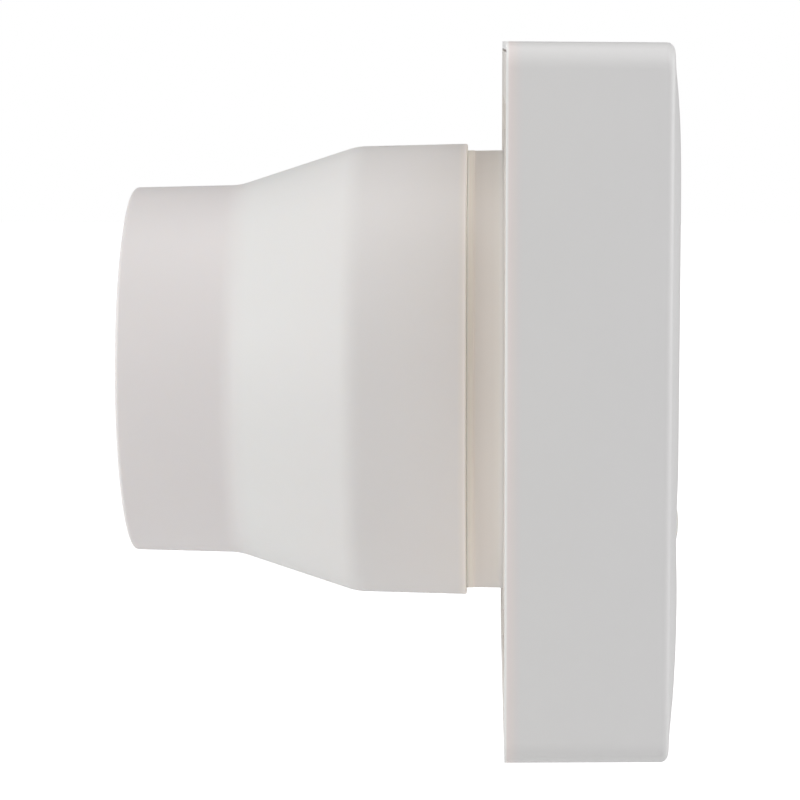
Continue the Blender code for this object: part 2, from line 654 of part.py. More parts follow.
def impeller():
    hub = [(4 * MM, 2.3 * MM), (4 * MM, 14 * MM), (3 * MM, 18 * MM), (0, HUB_RADIUS),
           (-21 * MM, HUB_RADIUS), (-21 * MM, 19.2 * MM), (-0.5 * MM, 19.2 * MM), (1.6 * MM, 15 * MM),
           (1.6 * MM, 5.5 * MM), (-20 * MM, 5.5 * MM), (-20 * MM, 2.3 * MM)]
    made = add_object("impeller", turned(hub, 35), grey_plastic())
    blades = bmesh.new()
    for number in range(BLADE_COUNT):
        add_copy(blades, loft(blade(360 / BLADE_COUNT * number)))
    fuse(made, blades)
    clip = [(-20.3 * MM, 2.3 * MM), (-20.3 * MM, 4.6 * MM), (-22.2 * MM, 4 * MM), (-22.2 * MM, 2.3 * MM)]
    add_object("impeller_clip", turned(clip, 16), steel())


def flap_outline(side, knuckles):
    """Half a disc whose straight edge has a tongue at each knuckle; side is its way along Y."""
    straight, tongue, notch = 2.7 * MM, 0.9 * MM, 5 * MM
    ends = 52.3 * MM
    points = [(straight, -ends)]
    for low, high in knuckles:
        points += [(straight, low), (tongue, low), (tongue, high), (straight, high)]
    points += [(straight, ends), (notch, ends)]
    first = math.acos(notch / FLAP_RADIUS)
    steps = 24
    for i in range(steps + 1):
        turn = first - 2 * first * i / steps
        points.append((FLAP_RADIUS * math.cos(turn), FLAP_RADIUS * math.sin(turn)))
    points.append((notch, -ends))
    return [(side * y, z) for y, z in points]


def shutter_flap(name, side, knuckles):
    back = FLAP_FRONT - FLAP_THICKNESS
    made = add_object(name, extruded(flap_outline(side, knuckles), back, FLAP_FRONT), grey_plastic(),
                      (PIN_X, 0, 0))
    barrels = bmesh.new()
    for low, high in knuckles:
        add_cylinder(barrels, (PIN_X, 0, low + 0.05 * MM), (PIN_X, 0, high - 0.05 * MM), KNUCKLE_RADIUS, 16)
    fuse(made, barrels)
    ribs = bmesh.new()
    for height in (-26 * MM, 26 * MM):
        span = sorted((side * 8 * MM, side * 42 * MM))
        add_box(ribs, (back - 1 * MM, span[0], height - 0.5 * MM), (back + 0.5 * MM, span[1], height + 0.5 * MM))
    fuse(made, ribs)
    cut(made, cylinder((PIN_X, 0, -0.06), (PIN_X, 0, 0.06), KNUCKLE_BORE, 12))


def shutter_spring(name, side, low, high):
    """A light coil round the pin with one leg along its flap."""
    turns, per_turn, radius = 3, 7, 1.75 * MM
    wire = 0.25 * MM
    leg_x = FLAP_FRONT - FLAP_THICKNESS - wire - GAP
    points = [(PIN_X + (leg_x - PIN_X), side * 9 * MM, low), (leg_x, side * 3 * MM, low)]
    start = math.atan2(leg_x - PIN_X, 0)
    count = turns * per_turn
    for i in range(count + 1):
        share = i / count
        turn = start + side * math.tau * turns * share
        points.append((PIN_X + radius * math.sin(turn), side * radius * math.cos(turn),
                       low + (high - low) * share))
    curve = bpy.data.curves.new(name, "CURVE")
    curve.dimensions = "3D"
    spline = curve.splines.new("POLY")
    spline.points.add(len(points) - 1)
    for place, point in zip(spline.points, points):
        place.co = (point[0] - PIN_X, point[1], point[2], 1)
    curve.bevel_depth = wire
    curve.bevel_resolution = 1
    curve.use_fill_caps = True
    made = bpy.data.objects.new(name, curve)
    made.location = (PIN_X, 0, 0)
    bpy.context.collection.objects.link(made)
    curve.materials.append(steel())


def shutter():
    add_object("shutter_pin", cylinder((PIN_X, 0, -PIN_HALF_LENGTH), (PIN_X, 0, PIN_HALF_LENGTH), PIN_RADIUS, 12),
               steel())
    wide, middle = (39 * MM, 51 * MM), (3 * MM, 15 * MM)
    shutter_flap("shutter_flap_left", -1, ((-wide[1], -wide[0]), middle))
    shutter_flap("shutter_flap_right", 1, ((-middle[1], -middle[0]), wide))
    shutter_spring("shutter_spring_left", -1, 15.9 * MM, 20.5 * MM)
    shutter_spring("shutter_spring_right", 1, -20.5 * MM, -15.9 * MM)


def circuit_board():
    front = BOARD_BACK + BOARD_THICKNESS
    tab_half, tab_high = 11 * MM, -33 * MM
    outline = [(-BOARD_HALF, BOARD_LOW), (BOARD_HALF, BOARD_LOW), (BOARD_HALF, BOARD_HIGH), (tab_half, BOARD_HIGH),
               (tab_half, tab_high), (-tab_half, tab_high), (-tab_half, BOARD_HIGH), (-BOARD_HALF, BOARD_HIGH)]
    made = add_object("circuit_board", extruded(outline, BOARD_BACK, front), board_green())
    holes = bmesh.new()
    for number, side in enumerate((1, -1), start=1):
        spot = (side * BOARD_SCREW_Y, BOARD_SCREW_Z)
        add_cylinder(holes, (0.02, *spot), (0.03, *spot), 2 * MM, 12)
    cut(made, holes)
    rest = front + GAP
    add_object("relay", box((rest, -0.036, -0.070), (rest + 11 * MM, -0.020, -0.058)), black_plastic())
    add_object("film_capacitor", box((rest, -0.014, -0.077), (rest + 10 * MM, 0.004, -0.069)), blue_plastic())
    can = [(rest, 0), (rest, 4 * MM), (rest + 10.4 * MM, 4 * MM), (rest + 11 * MM, 3.4 * MM), (rest + 11 * MM, 0)]
    add_object("smoothing_capacitor", turned(can, 20, (0, 0.012, -0.060), ring=False), black_plastic())
    sensor = [(rest, 0), (rest, 5.2 * MM), (rest + 0.8 * MM, 5.2 * MM), (rest + 0.8 * MM, 4.5 * MM),
              (rest + 7.6 * MM, 4.5 * MM), (rest + 8 * MM, 4.1 * MM), (rest + 8 * MM, 0)]
    add_object("sensor_can", turned(sensor, 24, (0, 0, LENS_HEIGHT), ring=False), steel())
    trimmers(rest)


def trimmers(rest):
    """Two turning knobs with a screwdriver slot, each in a square base."""
    for number, (name, y) in enumerate(zip(("timer_trimmer", "light_trimmer"), TRIMMER_Y), start=1):
        centre = Vector((0, y, TRIMMER_Z))
        half = 4 * MM
        base = add_object(f"trimmer_base_{number}", box((rest, y - half, centre.z - half),
                                                        (rest + 3.6 * MM, y + half, centre.z + half)), blue_plastic())
        knob_back = rest + 2 * MM
        cut(base, cylinder((knob_back - GAP, y, centre.z), (rest + 6 * MM, y, centre.z), 3 * MM + GAP, 20))
        origin = (knob_back, y, centre.z)
        knob = add_object(name, cylinder(origin, (rest + 7 * MM, y, centre.z), 3 * MM, 20), white_plastic(), origin)
        cut(knob, box((rest + 5.9 * MM, y - 2.4 * MM, centre.z - 0.5 * MM),
                      (rest + 8 * MM, y + 2.4 * MM, centre.z + 0.5 * MM)))


def control_cover():
    """A lid over the board, open to the rear, with holes for the sensor and the trimmers."""
    back, front = BOARD_BACK - 2 * MM, BOARD_BACK + BOARD_THICKNESS + 13.4 * MM
    wall, clear = 1.2 * MM, 0.6 * MM
    half, low, high = BOARD_HALF + clear, BOARD_LOW - clear, BOARD_HIGH + clear
    made = add_object("control_cover", box((back, -half - wall, low - 0.5 * wall), (front, half + wall, high + wall)),
                      white_plastic())
    fuse(made, box((back + 0.1 * MM, -12.8 * MM, high - 2 * MM), (front - 3 * MM, 12.8 * MM, -31.2 * MM)))
    cut(made, box((back - 1 * MM, -half, low), (front - wall, half, high)))
    cut(made, box((back - 2 * MM, -11.6 * MM, high - 4 * MM), (front - 3 * MM - wall, 11.6 * MM, -32.4 * MM)))
    holes = cylinder((0.02, 0, LENS_HEIGHT), (0.05, 0, LENS_HEIGHT), 5 * MM, 24)
    for y in TRIMMER_Y:
        add_cylinder(holes, (0.028, y, TRIMMER_Z), (0.05, y, TRIMMER_Z), 3.5 * MM, 16)
    for side in (1, -1):
        add_cylinder(holes, (0.03, side * BOARD_SCREW_Y, BOARD_SCREW_Z), (0.05, side * BOARD_SCREW_Y, BOARD_SCREW_Z), 2 * MM, 12)
    for outward in (0, 2.6 * MM):
        add_cylinder(holes, (LEAD_X, LEAD_Y + outward, high - 2 * MM), (LEAD_X, LEAD_Y + outward, high + 3 * MM),
                     1.15 * MM, 12)
    cut(made, holes)
    for number, side in enumerate((1, -1), start=1):
        head = (front + GAP, side * BOARD_SCREW_Y, BOARD_SCREW_Z)
        screw(f"board_screw_{number}", head, -1, 15 * MM, 1.5 * MM, 3 * MM, 1.8 * MM)


def terminals():
    low, high = Vector((PLATE_THICKNESS + GAP, -0.081, -0.057)), Vector((15.5 * MM, -0.055, -0.046))
    made = add_object("terminal_block", box(low, high), white_plastic())
    holes = bmesh.new()
    for number in range(3):
        y = TERMINAL_Y + (number - 1) * TERMINAL_PITCH
        add_cylinder(holes, (9 * MM, y, TERMINAL_Z), (0.03, y, TERMINAL_Z), 2.7 * MM, 16)
        add_box(holes, (4.5 * MM, y - 2.2 * MM, -0.06), (8 * MM, y + 2.2 * MM, -0.0535))
        screw(f"terminal_screw_{number + 1}", (12.4 * MM, y, TERMINAL_Z), -1, 2.8 * MM, 1.4 * MM, 2.3 * MM, 1.2 * MM)
    cut(made, holes)
    grommet = [(GAP, 3.4 * MM), (GAP, 4.6 * MM), (PLATE_THICKNESS + GAP, 4.6 * MM),
               (PLATE_THICKNESS + GAP, 6.5 * MM), (PLATE_THICKNESS + 2.2 * MM, 6.1 * MM),
               (PLATE_THICKNESS + 2.2 * MM, 3.4 * MM)]
    add_object("cable_grommet", turned(grommet, 24, CABLE_HOLE), rubber())
    post_top = PLATE_THICKNESS - 1 * MM + 5.6 * MM
    bar = add_object("cable_clamp", box((post_top + GAP, -0.0825, -0.0662), (post_top + 3 * MM, -0.0545, -0.0598)),
                     white_plastic())
    bores = bmesh.new()
    for number, side in enumerate((1, -1), start=1):
        y = CLAMP_Y + side * CLAMP_SPREAD
        add_cylinder(bores, (0, y, CLAMP_Z), (0.02, y, CLAMP_Z), 1.9 * MM, 12)
        screw(f"clamp_screw_{number}", (post_top + 3 * MM + GAP, y, CLAMP_Z), -1, 2.6 * MM, 1.5 * MM, 2.9 * MM, 1.8 * MM)
    cut(bar, bores)


def lead(name, points):
    """An insulated wire along a smooth curve through the points."""
    route = []
    for i in range(len(points) - 1):
        before, start = Vector(points[max(i - 1, 0)]), Vector(points[i])
        end, after = Vector(points[i + 1]), Vector(points[min(i + 2, len(points) - 1)])
        for step in range(4):
            t = step / 4
            route.append(0.5 * (2 * start + (end - before) * t + (2 * before - 5 * start + 4 * end - after) * t * t
                                + (3 * start - before - 3 * end + after) * t ** 3))
    route.append(Vector(points[-1]))
    curve = bpy.data.curves.new(name, "CURVE")
    curve.dimensions = "3D"
    spline = curve.splines.new("POLY")
    spline.points.add(len(route) - 1)
    for place, point in zip(spline.points, route):
        place.co = (*point, 1)
    curve.bevel_depth = 0.8 * MM
    curve.bevel_resolution = 1
    curve.use_fill_caps = True
    made = bpy.data.objects.new(name, curve)
    bpy.context.collection.objects.link(made)
    curve.materials.append(blue_plastic() if name.endswith("1") else black_plastic())


def motor_leads():
    """Two wires from the coil's flange, round the motor and down into the control cover."""
    for number, outward in enumerate((2.6 * MM, 0), start=1):
        lead(f"motor_lead_{number}",
             [(0.0345, 0.0174, 0.0380 + outward), (0.0345, 0.0262, 0.0370 + outward),
              (0.0335, 0.0325 + outward * 0.8, 0.0270 + outward * 0.6), (0.0300, 0.0350 + outward, 0.004),
              (0.0270, 0.0345 + outward, -0.022), (LEAD_X, LEAD_Y + outward, -0.040),
              (LEAD_X, LEAD_Y + outward, -0.0535)])


def build():
    clear_scene()
    front_cover()
    sensor_lens()
    back_plate()
    fan_duct()
    duct_adaptor()
    duct_screws()
    motor_bracket()
    bracket_mounts()
    stator()
    coil()
    rotor()
    bearings()
    motor_screws()
    impeller()
    shutter()
    circuit_board()
    control_cover()
    terminals()
    motor_leads()


build()
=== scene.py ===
import json
import math

import bmesh
import bpy
from mathutils import Matrix, Vector


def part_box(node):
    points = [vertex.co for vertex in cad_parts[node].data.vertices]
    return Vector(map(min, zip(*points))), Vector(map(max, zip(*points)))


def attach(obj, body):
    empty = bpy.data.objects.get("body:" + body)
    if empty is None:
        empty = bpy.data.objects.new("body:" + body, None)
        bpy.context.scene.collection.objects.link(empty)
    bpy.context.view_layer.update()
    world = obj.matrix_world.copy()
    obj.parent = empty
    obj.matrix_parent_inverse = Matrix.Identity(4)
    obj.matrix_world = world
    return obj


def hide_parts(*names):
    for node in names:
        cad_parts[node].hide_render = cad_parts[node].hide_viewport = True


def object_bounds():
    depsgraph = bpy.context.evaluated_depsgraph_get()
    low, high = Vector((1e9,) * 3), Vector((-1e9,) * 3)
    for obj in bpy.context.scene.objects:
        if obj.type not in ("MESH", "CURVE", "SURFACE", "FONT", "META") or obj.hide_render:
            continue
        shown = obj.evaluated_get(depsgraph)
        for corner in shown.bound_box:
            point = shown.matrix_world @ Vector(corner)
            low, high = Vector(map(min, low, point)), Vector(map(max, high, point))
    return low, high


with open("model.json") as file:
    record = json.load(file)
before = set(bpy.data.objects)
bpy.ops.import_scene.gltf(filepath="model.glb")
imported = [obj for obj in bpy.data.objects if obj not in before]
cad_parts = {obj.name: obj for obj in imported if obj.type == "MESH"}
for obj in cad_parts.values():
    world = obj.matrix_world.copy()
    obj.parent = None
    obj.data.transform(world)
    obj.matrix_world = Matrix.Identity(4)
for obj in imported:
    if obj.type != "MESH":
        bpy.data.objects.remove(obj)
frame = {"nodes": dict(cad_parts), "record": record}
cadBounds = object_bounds()
mm = 0.001
bodyOf = {node: body for body, nodes in frame["record"]["behaviour"]["bodies"].items() for node in nodes}


def linearColour(hexColour):
    channels = [int(hexColour[i:i + 2], 16) / 255 for i in (0, 2, 4)]
    return [c / 12.92 if c <= 0.04045 else ((c + 0.055) / 1.055) ** 2.4 for c in channels] + [1.0]


def addNode(tree, kind, settings=None, links=None):
    node = tree.nodes.new(kind)
    for name, value in (settings or {}).items():
        if isinstance(name, int) or name in node.inputs:
            node.inputs[name].default_value = value
        else:
            setattr(node, name, value)
    for name, source in (links or {}).items():
        tree.links.new(source, node.inputs[name])
    return node


def newMaterial(name, settings):
    # a Principled material with the constants set on the shader's own sockets
    material = bpy.data.materials.new(name)
    material.use_nodes = True
    shader = material.node_tree.nodes["Principled BSDF"]
    for socket, value in settings.items():
        shader.inputs[socket].default_value = value
    place = addNode(material.node_tree, "ShaderNodeTexCoord").outputs["Object"]
    return material, material.node_tree, shader, place


def newObject(name, shape):
    mesh = bpy.data.meshes.new(name)
    shape.to_mesh(mesh)
    shape.free()
    made = bpy.data.objects.new(name, mesh)
    bpy.context.scene.collection.objects.link(made)
    return made


def finishPiece(name, shape, material, body, nodes=(), sharp=32):
    piece = newObject(name, shape)
    piece.data.shade_smooth()
    piece.data.set_sharp_from_angle(angle=math.radians(sharp))
    piece.data.materials.append(material)
    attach(piece, body)
    if nodes:
        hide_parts(*nodes)
    return piece


def pourInto(shape, part):
    # add one bmesh to another, by way of a mesh
    mesh = bpy.data.meshes.new("passing")
    part.to_mesh(mesh)
    part.free()
    shape.from_mesh(mesh)
    bpy.data.meshes.remove(mesh)


def addBlock(shape, size, centre=(0, 0, 0)):
    corners = bmesh.ops.create_cube(shape, size=1)["verts"]
    bmesh.ops.scale(shape, vec=size, verts=corners)
    bmesh.ops.translate(shape, vec=centre, verts=corners)
    return corners


def closeUp(shape):
    bmesh.ops.remove_doubles(shape, verts=shape.verts, dist=1e-6)
    bmesh.ops.recalc_face_normals(shape, faces=shape.faces)
    return shape


def settled(piece, flatFaces=False):
    # keep what the modifiers make, and drop the modifiers; flatFaces lets large faces keep their own normals
    if flatFaces:
        piece.modifiers.new("flatFaces", "WEIGHTED_NORMAL").keep_sharp = True
    graph = bpy.context.evaluated_depsgraph_get()
    mesh = bpy.data.meshes.new_from_object(piece.evaluated_get(graph))
    piece.modifiers.clear()
    piece.data = mesh
    return piece


def cutAway(piece, cutter):
    cut = piece.modifiers.new("cut", "BOOLEAN")
    cut.operation = "DIFFERENCE"
    cut.solver = "EXACT"
    cut.object = cutter
    settled(piece)
    bpy.data.objects.remove(cutter)


def softened(piece, width, segments=2, angle=35):
    soft = piece.modifiers.new("softEdges", "BEVEL")
    soft.width = width * mm
    soft.segments = segments
    soft.limit_method = "ANGLE"
    soft.angle_limit = math.radians(angle)
    return piece


def roundedProfile(corners, steps=5):
    # corners are (x, radius, fillet); each fillet becomes an arc tangent to both sides
    points = []
    for i, (x, r, fillet) in enumerate(corners):
        here = Vector((x, r))
        if not fillet:
            points.append(here)
            continue
        before = (Vector(corners[i - 1][:2]) - here).normalized()
        after = (Vector(corners[(i + 1) % len(corners)][:2]) - here).normalized()
        half = before.angle(after) / 2
        reach = fillet / math.tan(half)
        centre = here + (before + after).normalized() * fillet / math.sin(half)
        start, end = here + before * reach - centre, here + after * reach - centre
        turn = start.angle_signed(end)
        for step in range(steps + 1):
            angle = -turn * step / steps
            points.append(centre + Matrix.Rotation(angle, 2) @ start)
    return [(p.x, p.y) for p in points]


def latheAboutX(profile, steps, centre=(0, 0, 0), closed=True):
    shape = bmesh.new()
    points = [shape.verts.new(Vector(centre) + Vector((x, 0, r))) for x, r in profile]
    pairs = list(zip(points, points[1:])) + ([(points[-1], points[0])] if closed else [])
    edges = [shape.edges.new(pair) for pair in pairs]
    bmesh.ops.spin(shape, geom=points + edges, cent=centre, axis=(1, 0, 0), angle=math.tau,
                   steps=steps, use_merge=True)
    return closeUp(shape)


cameraSet = {
    "spot": Vector((-0.0048, -0.7749, 0.0885)),
    "aim": Vector((-0.0280, 0.0, -0.0085)),
    "lens": 129.1, "sensor": 36,
    "roll": -0.08,
}
lightSet = {
    "skyStrength": 0.2468,
    "skyColour": "FFFFFF",
    "floorHeight": -0.34, "floorReach": 6,
    "floorColour": "EEEEEE",
    "floorGlow": 0.06,
    "distance": 1.3, "panelSize": 0.8,
    # name: (degrees round to the left of the camera, degrees up, watts)
    "panels": {
        "leftSoftbox": (65, 10, 7.53), "backLeftSoftbox": (96, 14, 2.3), "rightSoftbox": (-80, 12, 5.6),
        "rightTopSoftbox": (-40, 48, 4.9), "topSoftbox": (0, 88, 3.2),
    },
}


def makeCamera():
    lens = bpy.data.cameras.new("camera")
    lens.lens = cameraSet["lens"]
    lens.sensor_width = cameraSet["sensor"]
    camera = bpy.data.objects.new("camera", lens)
    bpy.context.scene.collection.objects.link(camera)
    camera.location = cameraSet["spot"]
    look = (cameraSet["aim"] - cameraSet["spot"]).to_track_quat("-Z", "Y").to_matrix()
    roll = Matrix.Rotation(math.radians(cameraSet["roll"]), 3, "Z")
    camera.rotation_euler = (look @ roll).to_euler()
    bpy.context.scene.camera = camera


def makeSky():
    world = bpy.data.worlds.new("paleRoom")
    bpy.context.scene.world = world
    world.use_nodes = True
    tree = world.node_tree
    tree.nodes.clear()
    seen = addNode(tree, "ShaderNodeLightPath").outputs["Is Camera Ray"]
    glow = addNode(tree, "ShaderNodeBackground", {"Color": linearColour(lightSet["skyColour"]),
                                                  "Strength": lightSet["skyStrength"]})
    backdrop = addNode(tree, "ShaderNodeBackground", {"Color": (1, 1, 1, 1), "Strength": 1.0})
    mix = addNode(tree, "ShaderNodeMixShader", {}, {"Fac": seen, 1: glow.outputs[0], 2: backdrop.outputs[0]})
    addNode(tree, "ShaderNodeOutputWorld", {}, {"Surface": mix.outputs[0]})


def makeFloor():
    shape = bmesh.new()
    bmesh.ops.create_grid(shape, x_segments=1, y_segments=1, size=lightSet["floorReach"])
    bmesh.ops.translate(shape, vec=(0, 0, lightSet["floorHeight"]), verts=shape.verts)
    floor = newObject("floor", shape)
    paper = bpy.data.materials.new("palePaper")
    paper.use_nodes = True
    tree = paper.node_tree
    shader = tree.nodes["Principled BSDF"]
    shader.inputs["Base Color"].default_value = linearColour(lightSet["floorColour"])
    shader.inputs["Roughness"].default_value = 0.9
    shader.inputs["Emission Color"].default_value = (1, 1, 1, 1)
    seen = addNode(tree, "ShaderNodeLightPath").outputs["Is Camera Ray"]
    glow = addNode(tree, "ShaderNodeMapRange", {"To Min": lightSet["floorGlow"], "To Max": 1.0},
                   {"Value": seen})
    tree.links.new(glow.outputs[0], shader.inputs["Emission Strength"])
    floor.data.materials.append(paper)


def makeLights():
    # soft square panels, all at one distance and aimed at the middle of the fan
    middle = (Vector(cadBounds[0]) + Vector(cadBounds[1])) / 2
    for name, (around, up, power) in lightSet["panels"].items():
        around, up = math.radians(around), math.radians(up)
        out = Vector((-math.sin(around) * math.cos(up), -math.cos(around) * math.cos(up), math.sin(up)))
        panel = bpy.data.lights.new(name, "AREA")
        panel.size = lightSet["panelSize"]
        panel.energy = power
        lamp = bpy.data.objects.new(name, panel)
        bpy.context.scene.collection.objects.link(lamp)
        lamp.location = middle + out * lightSet["distance"]
        lamp.rotation_euler = (-out).to_track_quat("-Z", "Y").to_euler()
    bpy.context.scene.view_settings.view_transform = "Standard"
    bpy.context.scene.view_settings.look = "None"


makeCamera()
makeSky()
makeFloor()
makeLights()
print("camera, floor and lights are in")


plasticSet = {
    "ior": 1.5, "coatRoughness": 0.3, "glossier": 0.04, "duller": 0.05, "grainStrength": 0.25,
    "cloudSize": 45.0,                                   # mm
    "glowDepth": 2.5, "glowReach": (1.0, 0.82, 0.66),    # mm, and the share of it for red, green and blue
}


def mouldedPlastic(name, hexColour, roughness, grain=0.35, depth=0.02, patch=0.012, subsurface=0.0,
                   sheen=0.0, along=()):
    # injection-moulded plastic: a fine spark-eroded grain and barely uneven colour; along lists (mm, colour)
    # stops on the X axis for a ramp of painted light and shade, multiplied into the colour
    s = plasticSet
    material, tree, shader, place = newMaterial(name, {"Roughness": roughness, "IOR": s["ior"],
                                                       "Coat Weight": sheen,
                                                       "Coat Roughness": s["coatRoughness"]})
    if subsurface:
        shader.inputs["Subsurface Weight"].default_value = subsurface
        shader.inputs["Subsurface Radius"].default_value = s["glowReach"]
        shader.inputs["Subsurface Scale"].default_value = s["glowDepth"] * mm
    cloud = addNode(tree, "ShaderNodeTexNoise", {"Scale": 1 / (s["cloudSize"] * mm), "Detail": 3.0,
                                                 "Roughness": 0.55}, {"Vector": place})
    base = linearColour(hexColour)
    low = [c * (1 - patch) for c in base[:3]] + [1]
    high = [min(c * (1 + patch), 1) for c in base[:3]] + [1]
    tone = addNode(tree, "ShaderNodeMix", {"data_type": "RGBA", 6: low, 7: high}, {0: cloud.outputs["Fac"]})
    colour = tone.outputs[2]
    # painted light and shade: the along ramp lightens or darkens the colour by its place on X
    if along:
        first, last = along[0][0], along[-1][0]
        apart = addNode(tree, "ShaderNodeSeparateXYZ", {}, {"Vector": place})
        run = addNode(tree, "ShaderNodeMapRange", {"From Min": first * mm, "From Max": last * mm},
                      {"Value": apart.outputs["X"]})
        paintedLightRamp = addNode(tree, "ShaderNodeValToRGB", {}, {"Fac": run.outputs[0]})
        stops = paintedLightRamp.color_ramp.elements
        for spot, shade in along[1:-1]:
            stops.new((spot - first) / (last - first))
        for stop, (spot, shade) in zip(stops, along):
            stop.color = linearColour(shade)
        paintedLightShift = addNode(tree, "ShaderNodeMix", {"data_type": "RGBA", "blend_type": "MULTIPLY", 0: 1.0},
                        {6: colour, 7: paintedLightRamp.outputs["Color"]})
        colour = paintedLightShift.outputs[2]
    tree.links.new(colour, shader.inputs["Base Color"])
    spread = addNode(tree, "ShaderNodeMapRange", {"To Min": roughness - s["glossier"],
                                                  "To Max": roughness + s["duller"]},
                     {"Value": cloud.outputs["Fac"]})
    tree.links.new(spread.outputs[0], shader.inputs["Roughness"])
    grains = addNode(tree, "ShaderNodeTexNoise", {"Scale": 1 / (grain * mm), "Detail": 2.0},
                     {"Vector": place})
    bump = addNode(tree, "ShaderNodeBump", {"Strength": s["grainStrength"], "Distance": depth * mm},
                   {"Height": grains.outputs["Fac"]})
    tree.links.new(bump.outputs[0], shader.inputs["Normal"])
    return material


metalSet = {"patchSize": 6.0, "patchShade": 0.82, "glossier": 0.08, "duller": 0.14, "grainStrength": 0.3}


def platedMetal(name, hexColour, roughness, grain=0.5, stretch=(1, 1, 1), depth=0.01):
    # metal with a fine directional finish and slightly dulled patches
    s = metalSet
    material, tree, shader, place = newMaterial(name, {"Metallic": 1.0, "Roughness": roughness})
    aligned = addNode(tree, "ShaderNodeMapping", {"Scale": stretch}, {"Vector": place})
    fine = addNode(tree, "ShaderNodeTexNoise", {"Scale": 1 / (grain * mm), "Detail": 4.0},
                   {"Vector": aligned.outputs[0]})
    dull = addNode(tree, "ShaderNodeTexNoise", {"Scale": 1 / (s["patchSize"] * mm), "Detail": 2.0},
                   {"Vector": place})
    base = linearColour(hexColour)
    shaded = [c * s["patchShade"] for c in base[:3]] + [1]
    tone = addNode(tree, "ShaderNodeMix", {"data_type": "RGBA", 6: shaded, 7: base},
                   {0: dull.outputs["Fac"]})
    tree.links.new(tone.outputs[2], shader.inputs["Base Color"])
    spread = addNode(tree, "ShaderNodeMapRange", {"To Min": roughness - s["glossier"],
                                                  "To Max": roughness + s["duller"]},
                     {"Value": fine.outputs["Fac"]})
    tree.links.new(spread.outputs[0], shader.inputs["Roughness"])
    bump = addNode(tree, "ShaderNodeBump", {"Strength": s["grainStrength"], "Distance": depth * mm},
                   {"Height": fine.outputs["Fac"]})
    tree.links.new(bump.outputs[0], shader.inputs["Normal"])
    return material


# a wave texture of scale 1 repeats 3.18 times a metre
bandSet = {"unitBands": 3.18, "waver": 0.15, "lineStrength": 0.6}


def bandedMaterial(name, lineHex, bodyHex, spacing, axis, metallic, roughness, depth=0.06):
    # fine parallel lines across one axis, as on stacked sheets or wound wire
    s = bandSet
    material, tree, shader, place = newMaterial(name, {"Metallic": metallic, "Roughness": roughness})
    lines = addNode(tree, "ShaderNodeTexWave", {"wave_type": "BANDS", "bands_direction": axis,
                                                "Scale": 1 / (spacing * mm) / s["unitBands"],
                                                "Distortion": s["waver"], "Detail": 1.0, "Detail Scale": 0.4},
                    {"Vector": place})
    tone = addNode(tree, "ShaderNodeMix", {"data_type": "RGBA", 6: linearColour(lineHex),
                                           7: linearColour(bodyHex)}, {0: lines.outputs["Fac"]})
    tree.links.new(tone.outputs[2], shader.inputs["Base Color"])
    bump = addNode(tree, "ShaderNodeBump", {"Strength": s["lineStrength"], "Distance": depth * mm},
                   {"Height": lines.outputs["Fac"]})
    tree.links.new(bump.outputs[0], shader.inputs["Normal"])
    return material


# casing: satin, neutral white; its ramp paints a highlight along the thin back rim and warm painted bounce
# light just in front of it
absWhite = mouldedPlastic("mouldedAbsWhite", "FCFCFC", 0.40, along=[
    (0, "FFFFFF"), (0.45, "FFFDFA"), (0.7, "F3EAE7"), (1.2, "EFE6E4"), (2, "ECE6E3"), (3, "E8E4E3"),
    (4.2, "E6E5E4"), (48, "E6E5E5")])
# back plate and small mouldings: the same plastic from a duller tool
absPlate = mouldedPlastic("mouldedAbsPlate", "E6E2DD", 0.46)
# spigot: painted warm light at the stop rib and painted light beside the plate over the shade there, darker
# between
absDuct = mouldedPlastic("mouldedAbsDuct", "FDFDFD", 0.42, subsurface=0.1, along=[
    (-10, "FFFCF3"), (-9.4, "FFFCF3"), (-8.9, "FFF5EA"), (-8.4, "FFF7EB"), (-7.9, "FBF0E6"), (-7.2, "F0E8E0"),
    (-6, "EDE5DE"), (-3, "EFE8E1"), (-1.6, "F5EFE8"), (-0.7, "FFFAF5"), (0, "FFFAF5"), (0.4, "F0EBE4"),
    (5, "F0EBE4")])
# adaptor: slightly translucent; its ramp paints the cone whiter where the side light falls, and a painted
# highlight makes a pale thin edge at the collar's mouth
polypropylene = mouldedPlastic("mouldedPolypropylene", "FDFDFD", 0.44, subsurface=0.15, along=[
    (-100, "EEE9E8"), (-73, "EEE9E8"), (-66, "F0EFED"), (-42, "F0EEEC"), (-36, "EBE7E5"), (-12, "ECE7E4"),
    (-10.9, "F0E9E3"), (-10.4, "F8EFEA"), (-9.9, "FFF8F0"), (-9, "FFF8F0")])
polyethylene = mouldedPlastic("milkyPolyethylene", "EFEDE6", 0.30, grain=0.6, depth=0.01, subsurface=0.5)
nylonGrey = mouldedPlastic("glassFilledNylon", "5C6064", 0.48, grain=0.25, depth=0.03, patch=0.06)
phenolicBlack = mouldedPlastic("mouldedPhenolic", "1E1F21", 0.38, grain=0.3, patch=0.1)
epoxyBlue = mouldedPlastic("epoxyCoatBlue", "2F62A0", 0.24, grain=1.2, depth=0.03, patch=0.05, sheen=0.4)
pvcBlue = mouldedPlastic("pvcSleeveBlue", "2C5FA6", 0.34, grain=0.8, patch=0.04)
pvcBlack = mouldedPlastic("pvcSleeveBlack", "1B1C1E", 0.36, grain=0.8, patch=0.1)
rubberBlack = mouldedPlastic("nitrileRubber", "2A2A2B", 0.74, grain=0.2, depth=0.05, patch=0.12)
zincPlate = platedMetal("brightZincPlate", "C6C8CA", 0.30, grain=0.3, depth=0.006)          # screws, pins
groundSteel = platedMetal("groundSteel", "BFC0C2", 0.22, grain=0.15, stretch=(12, 1, 1), depth=0.004)
zincCasting = platedMetal("dieCastZinc", "A2A4A6", 0.46, grain=0.35, depth=0.03)
copperBar = platedMetal("drawnCopper", "C0764A", 0.30, grain=0.3, depth=0.008)
